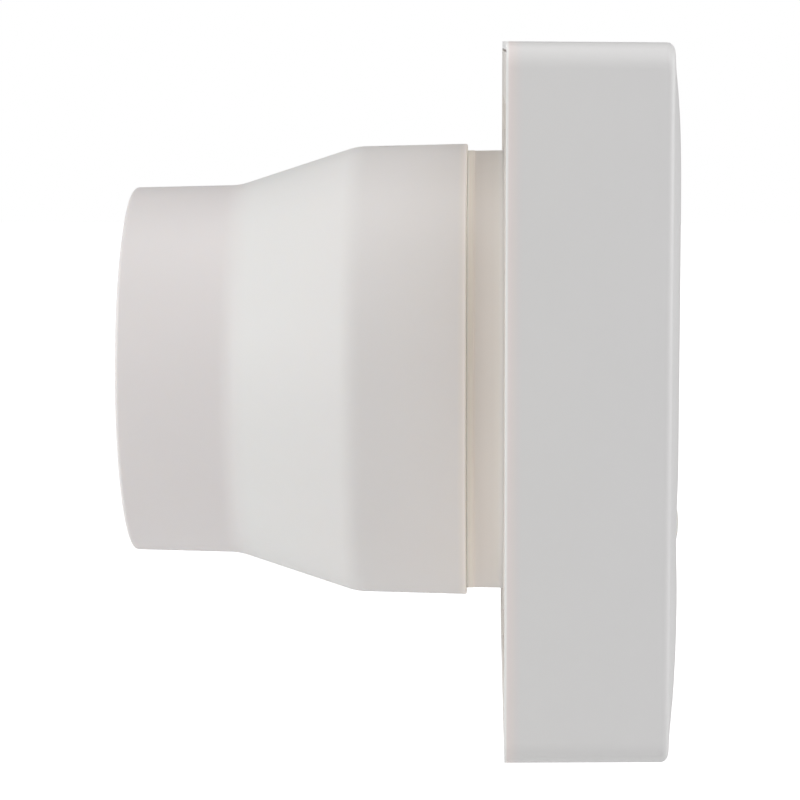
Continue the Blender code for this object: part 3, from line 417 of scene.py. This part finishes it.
# 0.5 mm sheets, then 0.45 mm turns
laminations = bandedMaterial("stackedElectricalSteel", "3E4043", "8B8E91", 0.5, "X", 0.9, 0.42)
enamelledWire = bandedMaterial("enamelledCopperWire", "5A2A14", "C97B45", 0.45, "Y", 0.85, 0.28)

boardSet = {"trackSpacing": 5.0, "trackHalf": 0.06, "trackFade": 0.09, "trackHeight": 0.04}


def solderMaskBoard():
    # glass-fibre board: green lacquer with the copper tracks showing through as paler lines
    s = boardSet
    material, tree, shader, place = newMaterial("solderMaskBoard", {"Roughness": 0.32})
    cells = addNode(tree, "ShaderNodeTexVoronoi", {"feature": "DISTANCE_TO_EDGE",
                                                    "Scale": 1 / (s["trackSpacing"] * mm)}, {"Vector": place})
    track = addNode(tree, "ShaderNodeMapRange", {"From Min": s["trackHalf"], "From Max": s["trackFade"]},
                    {"Value": cells.outputs[0]})
    tone = addNode(tree, "ShaderNodeMix", {"data_type": "RGBA", 6: linearColour("3E8558"),
                                           7: linearColour("245A38")}, {0: track.outputs[0]})
    tree.links.new(tone.outputs[2], shader.inputs["Base Color"])
    bump = addNode(tree, "ShaderNodeBump", {"Strength": 0.4, "Distance": s["trackHeight"] * mm,
                                            "invert": True}, {"Height": track.outputs[0]})
    tree.links.new(bump.outputs[0], shader.inputs["Normal"])
    return material


boardGreen = solderMaskBoard()
print("materials are in")


adaptorSet = {
    "collarEnd": -9.65, "collarRadius": 61.0,
    "coneStart": -39.4, "coneStartRadius": 60.3,
    "coneEnd": -71.2, "coneEndRadius": 49.9,
    "tipEnd": -99.6, "tipRadius": 49.25, "tipRounding": 1.0,
    "wall": 1.6, "bend": 16.0, "mouthEdge": 0.45, "steps": 192,
    # inside the collar: a stop for the spigot's end, then a sleeve that opens towards the mouth
    "stopBack": -40.4, "stopFront": -38.7, "stopRadius": 57.6, "sleeveRadius": 59.06,
    "leadIn": 1.2, "leadRadius": 59.45, "mouthRadius": 59.75,
}


def makeAdaptor():
    s = adaptorSet
    outside = [
        (s["collarEnd"], s["collarRadius"], s["mouthEdge"]),
        (s["coneStart"], s["coneStartRadius"], s["bend"]), (s["coneEnd"], s["coneEndRadius"], s["bend"]),
        (s["tipEnd"], s["tipRadius"], s["tipRounding"]), (s["tipEnd"], s["tipRadius"] - s["wall"], 0.5),
    ]
    inside = [
        (s["coneEnd"], s["coneEndRadius"] - s["wall"], s["bend"] / 2), (s["stopBack"], s["stopRadius"], 3),
        (s["stopFront"], s["stopRadius"], 0.4), (s["stopFront"], s["sleeveRadius"], 0),
        (s["collarEnd"] - s["leadIn"], s["leadRadius"], 0), (s["collarEnd"], s["mouthRadius"], 0.3),
    ]
    profile = [(x * mm, r * mm) for x, r in roundedProfile(outside + inside, 8)]
    shell = finishPiece("adaptorShell", latheAboutX(profile, s["steps"]), polypropylene, "adaptor",
                        ["duct_adaptor"])
    settled(shell, True)


ductSet = {
    "end": -38.2, "endRadius": 58.7, "rootRadius": 59.25, "innerRadius": 56.8,
    "flangeBack": 2.7, "flangeFront": 5.0, "flangeRadius": 70.0,
    "seatBack": -32.2, "seatFront": -30.5, "seatRadius": 54.0,
    "ribBack": -9.6, "ribFront": -7.9, "ribRadius": 59.24,        # a low stop rib meets the adaptor's collar
    "besideRib": (59.1, 59.15), "ribFlanks": (0.1, 0.2),
    "blockHeight": 55.25, "blockX": -34.1, "blockSize": (5.8, 6.0, 4.7), "blockEdge": 0.5, "steps": 192,
}


def makeDuct():
    s = ductSet
    corners = [
        (s["end"], s["endRadius"], 0.5), (s["ribBack"], s["besideRib"][0], 0.05),
        (s["ribBack"] + s["ribFlanks"][0], s["ribRadius"], 0.05), (s["ribFront"], s["ribRadius"], 0.1),
        (s["ribFront"] + s["ribFlanks"][1], s["besideRib"][1], 0.05), (0, s["rootRadius"], 0),
        (s["flangeBack"], s["rootRadius"], 0.2), (s["flangeBack"], s["flangeRadius"], 0.3),
        (s["flangeFront"], s["flangeRadius"], 0.6),
        (s["flangeFront"], s["innerRadius"], 5.2), (s["seatFront"], s["innerRadius"], 0.3),
        (s["seatFront"], s["seatRadius"], 0.4), (s["seatBack"], s["seatRadius"], 0.3),
        (s["seatBack"], s["innerRadius"], 0.2), (s["end"], s["innerRadius"], 0.4),
    ]
    profile = [(x * mm, r * mm) for x, r in roundedProfile(corners, 6)]
    shape = latheAboutX(profile, s["steps"])
    for side in (1, -1):                                 # the blocks that hold the shutter's pin
        centre = Vector((s["blockX"], 0, side * s["blockHeight"])) * mm
        grown = addBlock(shape, Vector(s["blockSize"]) * mm, centre)
        edges = list({e for v in grown for e in v.link_edges})
        bmesh.ops.bevel(shape, geom=edges, offset=s["blockEdge"] * mm, segments=3, profile=0.5,
                        affect="EDGES", material=-1)
    settled(finishPiece("ductShell", shape, absDuct, "housing", ["fan_duct"]), True)


makeAdaptor()
makeDuct()
print("adaptor and spigot are turned")


coverSet = {
    "half": 88.4, "draft": 0.3, "back": 0.05, "sideEnd": 38.4, "edgeRadius": 2.0, "cornerRadius": 6.5,
    "wall": 2.0, "edgeBreak": 0.45,
    "crown": 3.3, "power": 8, "crownStrips": 15,         # the higher the power, the flatter the middle
    "bandHeight": -33.0, "bandHalf": 18.0, "bandDepth": 0.35, "bandStrips": 4,
    "slotCount": 21, "slotPitch": 7.2, "slotWidth": 3.6, "slotStart": 8.0, "slotEnd": 34.0, "slotReach": 8,
    "lensHeight": -42.0, "lensHole": 9.3, "lensCut": (43, 20),     # middle and length of the cut along X
    "notches": ((83.05, 2.0, 0.45), (74.15, 0.8, 0.75)),     # height, radius and depth of each release notch
    "notchReach": 10,
}


def coverBlank():
    # an open square pan with rounded corners and a rounded front edge
    s = coverSet
    shape = bmesh.new()
    bmesh.ops.create_cube(shape, size=1)
    depth = s["sideEnd"] + s["edgeRadius"] - s["back"]
    bmesh.ops.scale(shape, vec=(depth * mm, 2 * s["half"] * mm, 2 * s["half"] * mm), verts=shape.verts)
    bmesh.ops.translate(shape, vec=((depth / 2 + s["back"]) * mm, 0, 0), verts=shape.verts)
    along = [e for e in shape.edges if abs((e.verts[0].co - e.verts[1].co).x) > 0.01]
    bmesh.ops.bevel(shape, geom=along, offset=s["cornerRadius"] * mm, segments=12, profile=0.5,
                    affect="EDGES", material=-1)
    bmesh.ops.delete(shape, geom=[f for f in shape.faces if f.normal.x < -0.9], context="FACES")
    front = [f for f in shape.faces if f.normal.x > 0.9][0]
    for vertex in front.verts:                           # the sides lean in towards the front
        vertex.co.yz *= 1 - s["draft"] / s["half"]
    bmesh.ops.bevel(shape, geom=list(front.edges), offset=s["edgeRadius"] * mm, segments=6, profile=0.5,
                    affect="EDGES", material=-1)
    return shape


def pillow(shape):
    # cut the front into strips both ways, closer together near the edges, and lift them into a soft crown
    s = coverSet
    base = max(v.co.x for v in shape.verts)
    half = (s["half"] - s["draft"] - s["edgeRadius"]) * mm
    strips, across = s["crownStrips"], s["bandStrips"]
    grid = [half * math.sin(math.pi / 2 * i / strips) for i in range(1 - strips, strips)]
    band = [(s["bandHeight"] + s["bandHalf"] * i / across) * mm for i in range(-across, across + 1)]
    for axis, cuts in ((1, grid), (2, sorted(grid + band))):
        for place in cuts:
            faces = [f for f in shape.faces if all(v.co.x > base - 1e-6 for v in f.verts)]
            geometry = faces + list({e for f in faces for e in f.edges})
            geometry += list({v for f in faces for v in f.verts})
            normal = Vector((0, 0, 0))
            normal[axis] = 1
            bmesh.ops.bisect_plane(shape, geom=geometry, plane_co=normal * place, plane_no=normal, dist=1e-6)
    for vertex in shape.verts:
        if vertex.co.x > base - 1e-6:
            y, z = abs(vertex.co.y) / half, abs(vertex.co.z) / half
            rise = max(0, 1 - y ** s["power"]) * max(0, 1 - z ** s["power"])
            across = (vertex.co.z / mm - s["bandHeight"]) / s["bandHalf"]
            dip = s["bandDepth"] * math.cos(across * math.pi / 2) ** 2 if abs(across) < 1 else 0
            vertex.co.x = base + (s["crown"] * rise - dip * min(rise * 2, 1)) * mm


def coverCutter():
    # the air slots in the top and bottom walls, the lens hole and the release notches
    s = coverSet
    shape = bmesh.new()
    for side in (1, -1):
        for i in range(s["slotCount"]):
            size = Vector((s["slotEnd"] - s["slotStart"], s["slotWidth"], s["slotReach"])) * mm
            place = Vector(((s["slotStart"] + s["slotEnd"]) / 2,
                            (i - (s["slotCount"] - 1) / 2) * s["slotPitch"], side * s["half"])) * mm
            grown = addBlock(shape, size, place)
            upright = list({e for v in grown for e in v.link_edges
                            if abs((e.verts[0].co - e.verts[1].co).z) > 1 * mm})
            bmesh.ops.bevel(shape, geom=upright, offset=s["slotWidth"] * 0.49 * mm, segments=5, profile=0.5,
                            affect="EDGES", material=-1)
    middle, length = s["lensCut"]
    place = Matrix.Translation((middle * mm, 0, s["lensHeight"] * mm)) @ Matrix.Rotation(math.pi / 2, 4, "Y")
    bmesh.ops.create_cone(shape, cap_ends=True, segments=96, radius1=s["lensHole"] * mm,
                          radius2=s["lensHole"] * mm, depth=length * mm, matrix=place)
    for height, radius, depth in s["notches"]:
        place = Matrix.Translation(Vector((s["back"] + depth - radius, s["half"], height)) * mm)
        bmesh.ops.create_cone(shape, cap_ends=True, segments=48, radius1=radius * mm, radius2=radius * mm,
                              depth=s["notchReach"] * mm, matrix=place @ Matrix.Rotation(math.pi / 2, 4, "X"))
    return newObject("coverCutter", shape)


def makeCover():
    shape = coverBlank()
    pillow(shape)
    cover = finishPiece("coverShell", closeUp(shape), absWhite, "cover", ["front_cover"])
    thick = cover.modifiers.new("wall", "SOLIDIFY")
    thick.thickness = coverSet["wall"] * mm
    thick.offset = -1
    thick.use_even_offset = True
    cutAway(cover, coverCutter())
    softened(cover, coverSet["edgeBreak"], 3, 50)
    settled(cover, True)


makeCover()
print("cover is shaped")


lensSet = {
    "height": -42.0, "radius": 9.0, "flangeRadius": 11.0, "flangeBack": 39.2, "flangeFront": 40.6,
    "domeBase": 44.0, "domeRise": 3.9, "wall": 1.2, "facetRings": 5, "facetDepth": 0.18, "steps": 96,
}


def makeLens():
    # the dome's outside is smooth; inside it is stepped in rings, each a little focusing facet
    s = lensSet
    outer = [(s["domeBase"] + s["domeRise"] * math.sin(t), s["radius"] * math.cos(t))
             for t in [math.pi / 2 * i / 16 for i in range(16)]]
    inner = []
    count = s["facetRings"] * 2
    for i in range(count, 0, -1):
        t = math.pi / 2 * i / count
        step = s["facetDepth"] if i % 2 else 0
        inner.append((s["domeBase"] - s["wall"] / 2 - step + (s["domeRise"] - s["wall"] / 2) * math.sin(t),
                      max((s["radius"] - s["wall"]) * math.cos(t), 0.4)))
    base = [(s["flangeBack"], s["radius"] - s["wall"], 0), (s["flangeBack"], s["flangeRadius"], 0.2),
            (s["flangeFront"], s["flangeRadius"], 0.2), (s["flangeFront"], s["radius"], 0.15)]
    profile = roundedProfile(base, 3) + outer + [(s["domeBase"] + s["domeRise"], 0)]
    profile += [(s["domeBase"] + s["domeRise"] - s["wall"] * 1.1, 0)] + inner
    points = [(x * mm, r * mm) for x, r in profile]
    shape = latheAboutX(points, s["steps"], (0, 0, s["height"] * mm))
    finishPiece("sensorDome", shape, polyethylene, "cover", ["sensor_lens"], sharp=20)


softSet = {
    # node: (material, slot, edge radius in mm, rounding segments)
    "back_plate": (absPlate, "white_plastic", 0.25, 3),
    "control_cover": (absPlate, "white_plastic", 0.4, 3),
    "terminal_block": (absPlate, "white_plastic", 0.35, 3),
    "cable_clamp": (absPlate, "white_plastic", 0.5, 3),
    "timer_trimmer": (absPlate, "white_plastic", 0.15, 2),
    "light_trimmer": (absPlate, "white_plastic", 0.15, 2),
    "motor_bracket": (nylonGrey, "grey_plastic", 0.4, 3),
    "shutter_flap_left": (nylonGrey, "grey_plastic", 0.2, 2),
    "shutter_flap_right": (nylonGrey, "grey_plastic", 0.2, 2),
    "coil_bobbin": (phenolicBlack, "black_plastic", 0.25, 2),
    "relay": (phenolicBlack, "black_plastic", 0.5, 3),
    "film_capacitor": (epoxyBlue, "blue_plastic", 1.2, 5),
    "trimmer_base_1": (epoxyBlue, "blue_plastic", 0.3, 2),
    "trimmer_base_2": (epoxyBlue, "blue_plastic", 0.3, 2),
    "stator_core": (laminations, "lamination_steel", 0.1, 1),
    "rear_bearing_housing": (zincCasting, "zinc", 0.35, 3),
    "front_bearing_housing": (zincCasting, "zinc", 0.35, 3),
    "coil_winding": (enamelledWire, "copper", 0.3, 2),
    "shading_ring_left": (copperBar, "copper", 0.15, 2),
    "shading_ring_right": (copperBar, "copper", 0.15, 2),
    "circuit_board": (boardGreen, "board_green", 0.08, 1),
}


def softNode(node, material, slot, edge, segments):
    shape = bmesh.new()
    shape.from_mesh(frame["nodes"][node].data)
    bmesh.ops.remove_doubles(shape, verts=shape.verts, dist=1e-6)
    bmesh.ops.dissolve_limit(shape, angle_limit=math.radians(0.6), verts=shape.verts, edges=shape.edges)
    bmesh.ops.recalc_face_normals(shape, faces=shape.faces)
    piece = finishPiece(node + "Body", shape, material, bodyOf[node], [node])
    settled(softened(piece, edge, segments), True)


makeLens()
for node, choices in softSet.items():
    softNode(node, *choices)
print("moulded and pressed pieces have soft edges")


screwSet = {                                             # all in shares of the head's radius
    "headHeight": 0.62, "crossWidth": 0.2, "crossReach": 0.62, "crossDepth": 0.4, "crossTaper": 0.35,
    "threadPitch": 0.32, "crestRadius": 0.46, "rootRadius": 0.38, "shankStart": 0.04, "steps": 40,
}


def crossCutter():
    s = screwSet
    shape = bmesh.new()
    for turned in (0, 1):
        wide = (s["crossReach"] * 2, s["crossWidth"])
        grown = addBlock(shape, (s["crossDepth"] * 2, wide[turned], wide[1 - turned]))
        for vertex in grown:                             # the arms narrow as they go down
            if vertex.co.x < 0:
                vertex.co.yz *= s["crossTaper"]
        bmesh.ops.translate(shape, vec=(s["headHeight"], 0, 0), verts=grown)
    return newObject("crossCutter", shape)


def masterScrew():
    # a pan head one unit in radius, its seat at x = 0 and its shank towards -X
    s = screwSet
    head = [(0, 0.5), (0, 1.0), (s["headHeight"] * 0.5, 0.98), (s["headHeight"] * 0.82, 0.84),
            (s["headHeight"] * 0.97, 0.6), (s["headHeight"], 0.3), (s["headHeight"], 0)]
    shape = latheAboutX([(-0.05, 0), (-0.05, 0.5)] + head, s["steps"], closed=False)
    blank = newObject("screwHead", shape)
    cutAway(blank, crossCutter())
    made = bmesh.new()
    made.from_mesh(blank.data)
    bpy.data.objects.remove(blank)
    return made


def shankOf(shape, length, radius):
    # ridges every pitch stand for the thread
    s = screwSet
    pitch = s["threadPitch"] * radius
    place = s["shankStart"] * radius
    profile = [(-place, 0)]
    while place < length - radius / 2:
        profile += [(-place, radius * s["crestRadius"]), (-place - pitch / 2, radius * s["rootRadius"])]
        place += pitch
    profile += [(-length, 0)]
    pourInto(shape, latheAboutX(profile, s["steps"] // 2, closed=False))


def makeScrews():
    master = masterScrew()
    for node in [name for name in frame["nodes"] if "_screw_" in name]:
        low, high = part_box(node)
        radius = (high.y - low.y) / 2
        seat = high.x - screwSet["headHeight"] * radius
        shape = master.copy()
        bmesh.ops.scale(shape, vec=(radius, radius, radius), verts=shape.verts)
        shankOf(shape, seat - low.x, radius)
        turn = Matrix.Rotation(low.y * 37 + low.z * 91, 3, "X")          # no two left at the same angle
        bmesh.ops.rotate(shape, cent=(0, 0, 0), matrix=turn, verts=shape.verts)
        bmesh.ops.translate(shape, vec=(seat, (low.y + high.y) / 2, (low.z + high.z) / 2), verts=shape.verts)
        finishPiece(node + "Panhead", shape, zincPlate, bodyOf[node], [node], sharp=30)
    master.free()


makeScrews()
print("screws are cut")


def turnedPiece(name, node, corners, material, steps=64, centre=(0, 0, 0), sharp=32):
    profile = [(x * mm, r * mm) for x, r in roundedProfile(corners, 4)]
    shape = latheAboutX(profile, steps, Vector(centre))
    piece = finishPiece(name, shape, material, bodyOf[node], [node], sharp=sharp)
    return settled(piece, True)


def reachOf(node):
    # back and front in mm, and the point that the piece is turned about
    low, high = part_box(node)
    return low.x / mm, high.x / mm, Vector((0, (low.y + high.y) / 2, (low.z + high.z) / 2))


bearingSet = {"bore": 2.3, "innerRace": 3.1, "outerRace": 5.0, "radius": 5.9, "shieldSink": 0.35}


def makeBearings():
    # outer race, sunk shield, inner race
    s = bearingSet
    bore, inner, outer, radius = s["bore"], s["innerRace"], s["outerRace"], s["radius"]
    for node in ("rear_bearing", "front_bearing"):
        back, front = reachOf(node)[:2]
        backShield, frontShield = back + s["shieldSink"], front - s["shieldSink"]
        corners = [
            (back, bore, 0.15), (back, inner, 0.1), (backShield, inner, 0), (backShield, outer, 0),
            (back, outer, 0.1), (back, radius, 0.25), (front, radius, 0.25), (front, outer, 0.1),
            (frontShield, outer, 0), (frontShield, inner, 0), (front, inner, 0.1), (front, bore, 0.15),
        ]
        turnedPiece(node + "Race", node, corners, groundSteel)


shaftSet = {"radius": 2.0, "chamfer": 0.4, "steps": 48}


def makeShaft():
    s = shaftSet
    back, front = reachOf("motor_shaft")[:2]
    radius, chamfer = s["radius"], s["chamfer"]
    corners = [(back, 0, 0), (back, radius - chamfer, 0), (back + chamfer, radius, 0),
               (front - chamfer, radius, 0), (front, radius - chamfer, 0), (front, 0, 0)]
    turnedPiece("shaftRod", "motor_shaft", corners, groundSteel, s["steps"])


rotorSet = {"bore": 2.3, "coreRadius": 13.0, "ringRadius": 12.2, "ringDepth": 1.2, "ringEdge": 0.3}


def makeRotorCore():
    # a laminated core between two cast end rings
    s = rotorSet
    back, front = reachOf("rotor_core")[:2]
    core, ring, depth, edge = s["coreRadius"], s["ringRadius"], s["ringDepth"], s["ringEdge"]
    corners = [(back, s["bore"], 0), (back, ring, edge), (back + depth, ring, 0), (back + depth, core, 0),
               (front - depth, core, 0), (front - depth, ring, 0), (front, ring, edge), (front, s["bore"], 0)]
    turnedPiece("rotorStack", "rotor_core", corners, laminations)


clipSet = {"bore": 2.3, "frontRadius": 4.6, "backRadius": 4.3, "lipRadius": 3.6, "lipDepth": 0.6, "steps": 40}


def makeClip():
    s = clipSet
    back, front = reachOf("impeller_clip")[:2]
    corners = [(front, s["bore"], 0), (front, s["frontRadius"], 0.3),
               (back + s["lipDepth"], s["backRadius"], 0.3), (back, s["lipRadius"], 0.2), (back, s["bore"], 0)]
    turnedPiece("clipCollar", "impeller_clip", corners, zincPlate, s["steps"])


capacitorSet = {"bead": (1.2, 1.5, 1.8), "beadDepth": 0.3, "topLip": 0.9, "topStep": 1.1, "topSink": 0.3,
                "steps": 48}


def makeCapacitor():
    # a shrunk sleeve with the crimp's bead near its foot, and the can's end sunk in the top
    s = capacitorSet
    back, front, middle = reachOf("smoothing_capacitor")
    low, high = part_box("smoothing_capacitor")
    radius = (high.y - low.y) / 2 / mm
    start, waist, end = s["bead"]
    corners = [
        (back, 0, 0), (back, radius, 0.3), (back + start, radius, 0.2),
        (back + waist, radius - s["beadDepth"], 0.1), (back + end, radius, 0.2), (front, radius, 0.5),
        (front, radius - s["topLip"], 0.1),
        (front - s["topSink"], radius - s["topStep"], 0), (front - s["topSink"], 0, 0),
    ]
    turnedPiece("capacitorSleeve", "smoothing_capacitor", corners, phenolicBlack,
                s["steps"], middle)


canSet = {"flangeRadius": 5.2, "flangeDepth": 0.8, "radius": 4.5, "windowRadius": 2.6, "sillRadius": 2.5,
          "sill": 0.3}


def makeSensorCan():
    s = canSet
    back, front, middle = reachOf("sensor_can")
    flange = back + s["flangeDepth"]
    corners = [
        (back, 0, 0), (back, s["flangeRadius"], 0.2), (flange, s["flangeRadius"], 0.2),
        (flange, s["radius"], 0.2), (front, s["radius"], 0.4), (front, s["windowRadius"], 0.1),
        (front - s["sill"], s["sillRadius"], 0), (front - s["sill"], 0, 0),
    ]
    turnedPiece("sensorShell", "sensor_can", corners, zincPlate, 64, middle)


bushSet = {"bore": 2.1, "endRadius": 4.4, "bulgeRadius": 4.7, "bulge": 0.9, "waistRadius": 3.8, "steps": 48}


def makeBushes():
    # two bulges with a waist between them, where the bracket's eye sits
    s = bushSet
    for number in (1, 2, 3):
        node = f"rubber_bush_{number}"
        back, front, middle = reachOf(node)
        waist = (back + front) / 2
        corners = [
            (back, s["bore"], 0.1), (back, s["endRadius"], 0.4), (waist - s["bulge"], s["bulgeRadius"], 0.5),
            (waist, s["waistRadius"], 0.5), (waist + s["bulge"], s["bulgeRadius"], 0.5),
            (front, s["endRadius"], 0.4), (front, s["bore"], 0.1),
        ]
        turnedPiece(f"bushRubber_{number}", node, corners, rubberBlack, s["steps"], middle)


grommetSet = {"bore": 3.4, "neckRadius": 4.6, "plateFace": 2.7, "flangeRadius": 6.4, "lipRadius": 6.0}


def makeGrommet():
    s = grommetSet
    back, front, middle = reachOf("cable_grommet")
    corners = [
        (back, s["bore"], 0.4), (back, s["neckRadius"], 0.2), (s["plateFace"], s["neckRadius"], 0.1),
        (s["plateFace"], s["flangeRadius"], 0.3), (front, s["lipRadius"], 0.5), (front, s["bore"], 0.5),
    ]
    turnedPiece("grommetRing", "cable_grommet", corners, rubberBlack, 64, middle)


pinSet = {"edge": 0.2, "steps": 32}


def makePin():
    low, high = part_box("shutter_pin")
    shape = bmesh.new()
    radius = (high.x - low.x) / 2
    place = Matrix.Translation(((low.x + high.x) / 2, 0, (low.z + high.z) / 2))
    bmesh.ops.create_cone(shape, cap_ends=True, segments=pinSet["steps"], radius1=radius, radius2=radius,
                          depth=high.z - low.z, matrix=place)
    ends = [e for e in shape.edges if len([f for f in e.link_faces if len(f.verts) > 4]) == 1]
    bmesh.ops.bevel(shape, geom=ends, offset=pinSet["edge"] * mm, segments=3, profile=0.5, affect="EDGES",
                    material=-1)
    finishPiece("hingePin", shape, zincPlate, "housing", ["shutter_pin"])


makeBearings()
makeShaft()
makeRotorCore()
makeClip()
makeCapacitor()
makeSensorCan()
makeBushes()
makeGrommet()
makePin()
print("turned pieces are in")


impellerSet = {
    "blades": 7, "middle": -10.0, "rootRadius": 19.6, "tipRadius": 55.0, "rootPitch": 48.0, "tipPitch": 24.0,
    "rootChord": 24.0, "tipChord": 35.0, "rootThick": 1.9, "tipThick": 1.2, "sweep": 10.0, "camber": 0.07,
    "spanCuts": 14, "chordCuts": 12, "tipCorner": 0.16, "cornerStart": 0.55, "softEdge": 0.25,
    # the hub's section as (x, radius, fillet), and the ribs inside it
    "hub": [(4, 2.3, 0.3), (4, 13, 4), (2.6, 18.4, 5), (-1.4, 21, 2.5), (-21, 21, 0.5), (-21, 19.2, 0.5),
            (-0.5, 19.2, 1.5), (1.6, 15, 1), (1.6, 5.5, 1), (-20, 5.5, 0.3), (-20, 2.3, 0.3)],
    "hubSteps": 112, "hubRibs": 8, "ribSize": (12, 14.2, 1.2), "ribPlace": (-5.2, 12.3, 0),
}


def bladeShape(angle):
    # a flat grid, bent to the blade's camber, pitch and sweep, then given its thickness
    s = impellerSet
    shape = bmesh.new()
    bmesh.ops.create_grid(shape, x_segments=s["spanCuts"], y_segments=s["chordCuts"], size=0.5)
    for vertex in shape.verts:
        share, place = vertex.co.x + 0.5, vertex.co.y
        corner = max(0, abs(place) * 2 - s["cornerStart"]) / (1 - s["cornerStart"])    # rounds off the tip
        share *= 1 - s["tipCorner"] * corner ** 2 * share ** 3
        radius = s["rootRadius"] + (s["tipRadius"] - s["rootRadius"]) * share
        pitch = math.radians(s["rootPitch"] + (s["tipPitch"] - s["rootPitch"]) * share)
        chord = s["rootChord"] + (s["tipChord"] - s["rootChord"]) * share
        along = place * chord
        across = s["camber"] * chord * (1 - (2 * place) ** 2)
        around = along * math.cos(pitch) - across * math.sin(pitch)
        turn = math.radians(angle + s["sweep"] * share) + around / radius
        x = s["middle"] + along * math.sin(pitch) + across * math.cos(pitch)
        vertex.co = Vector((x, radius * math.cos(turn), radius * math.sin(turn))) * mm
    bmesh.ops.recalc_face_normals(shape, faces=shape.faces)
    bmesh.ops.solidify(shape, geom=shape.faces[:], thickness=(s["rootThick"] + s["tipThick"]) / 2 * mm)
    return shape


def makeImpeller():
    s = impellerSet
    shape = latheAboutX([(x * mm, r * mm) for x, r in roundedProfile(s["hub"], 6)], s["hubSteps"])
    for number in range(s["blades"]):
        pourInto(shape, bladeShape(360 / s["blades"] * number))
    for number in range(s["hubRibs"]):
        grown = addBlock(shape, Vector(s["ribSize"]) * mm, Vector(s["ribPlace"]) * mm)
        turn = Matrix.Rotation(math.tau * number / s["hubRibs"], 3, "X")
        bmesh.ops.rotate(shape, cent=(0, 0, 0), matrix=turn, verts=grown)
    piece = finishPiece("fanWheel", shape, nylonGrey, "rotor", ["impeller"], sharp=40)
    softened(piece, s["softEdge"], 2, 50)
    settled(piece, True)


makeImpeller()
print("impeller is bladed")


wireSet = {"motor_lead_1": (pvcBlue, "blue_plastic"), "motor_lead_2": (pvcBlack, "black_plastic"),
           "shutter_spring_left": (zincPlate, "steel"), "shutter_spring_right": (zincPlate, "steel")}


def roundWire(node, material):
    shape = bmesh.new()
    shape.from_mesh(frame["nodes"][node].data)
    bmesh.ops.remove_doubles(shape, verts=shape.verts, dist=1e-6)
    bmesh.ops.join_triangles(shape, faces=shape.faces, angle_face_threshold=0.6, angle_shape_threshold=0.6)
    bmesh.ops.recalc_face_normals(shape, faces=shape.faces)
    piece = finishPiece(node + "Wire", shape, material, bodyOf[node], [node], sharp=70)
    fine = piece.modifiers.new("round", "SUBSURF")
    fine.levels = fine.render_levels = 1


for node, (material, slot) in wireSet.items():
    roundWire(node, material)
print("wires and springs are round")
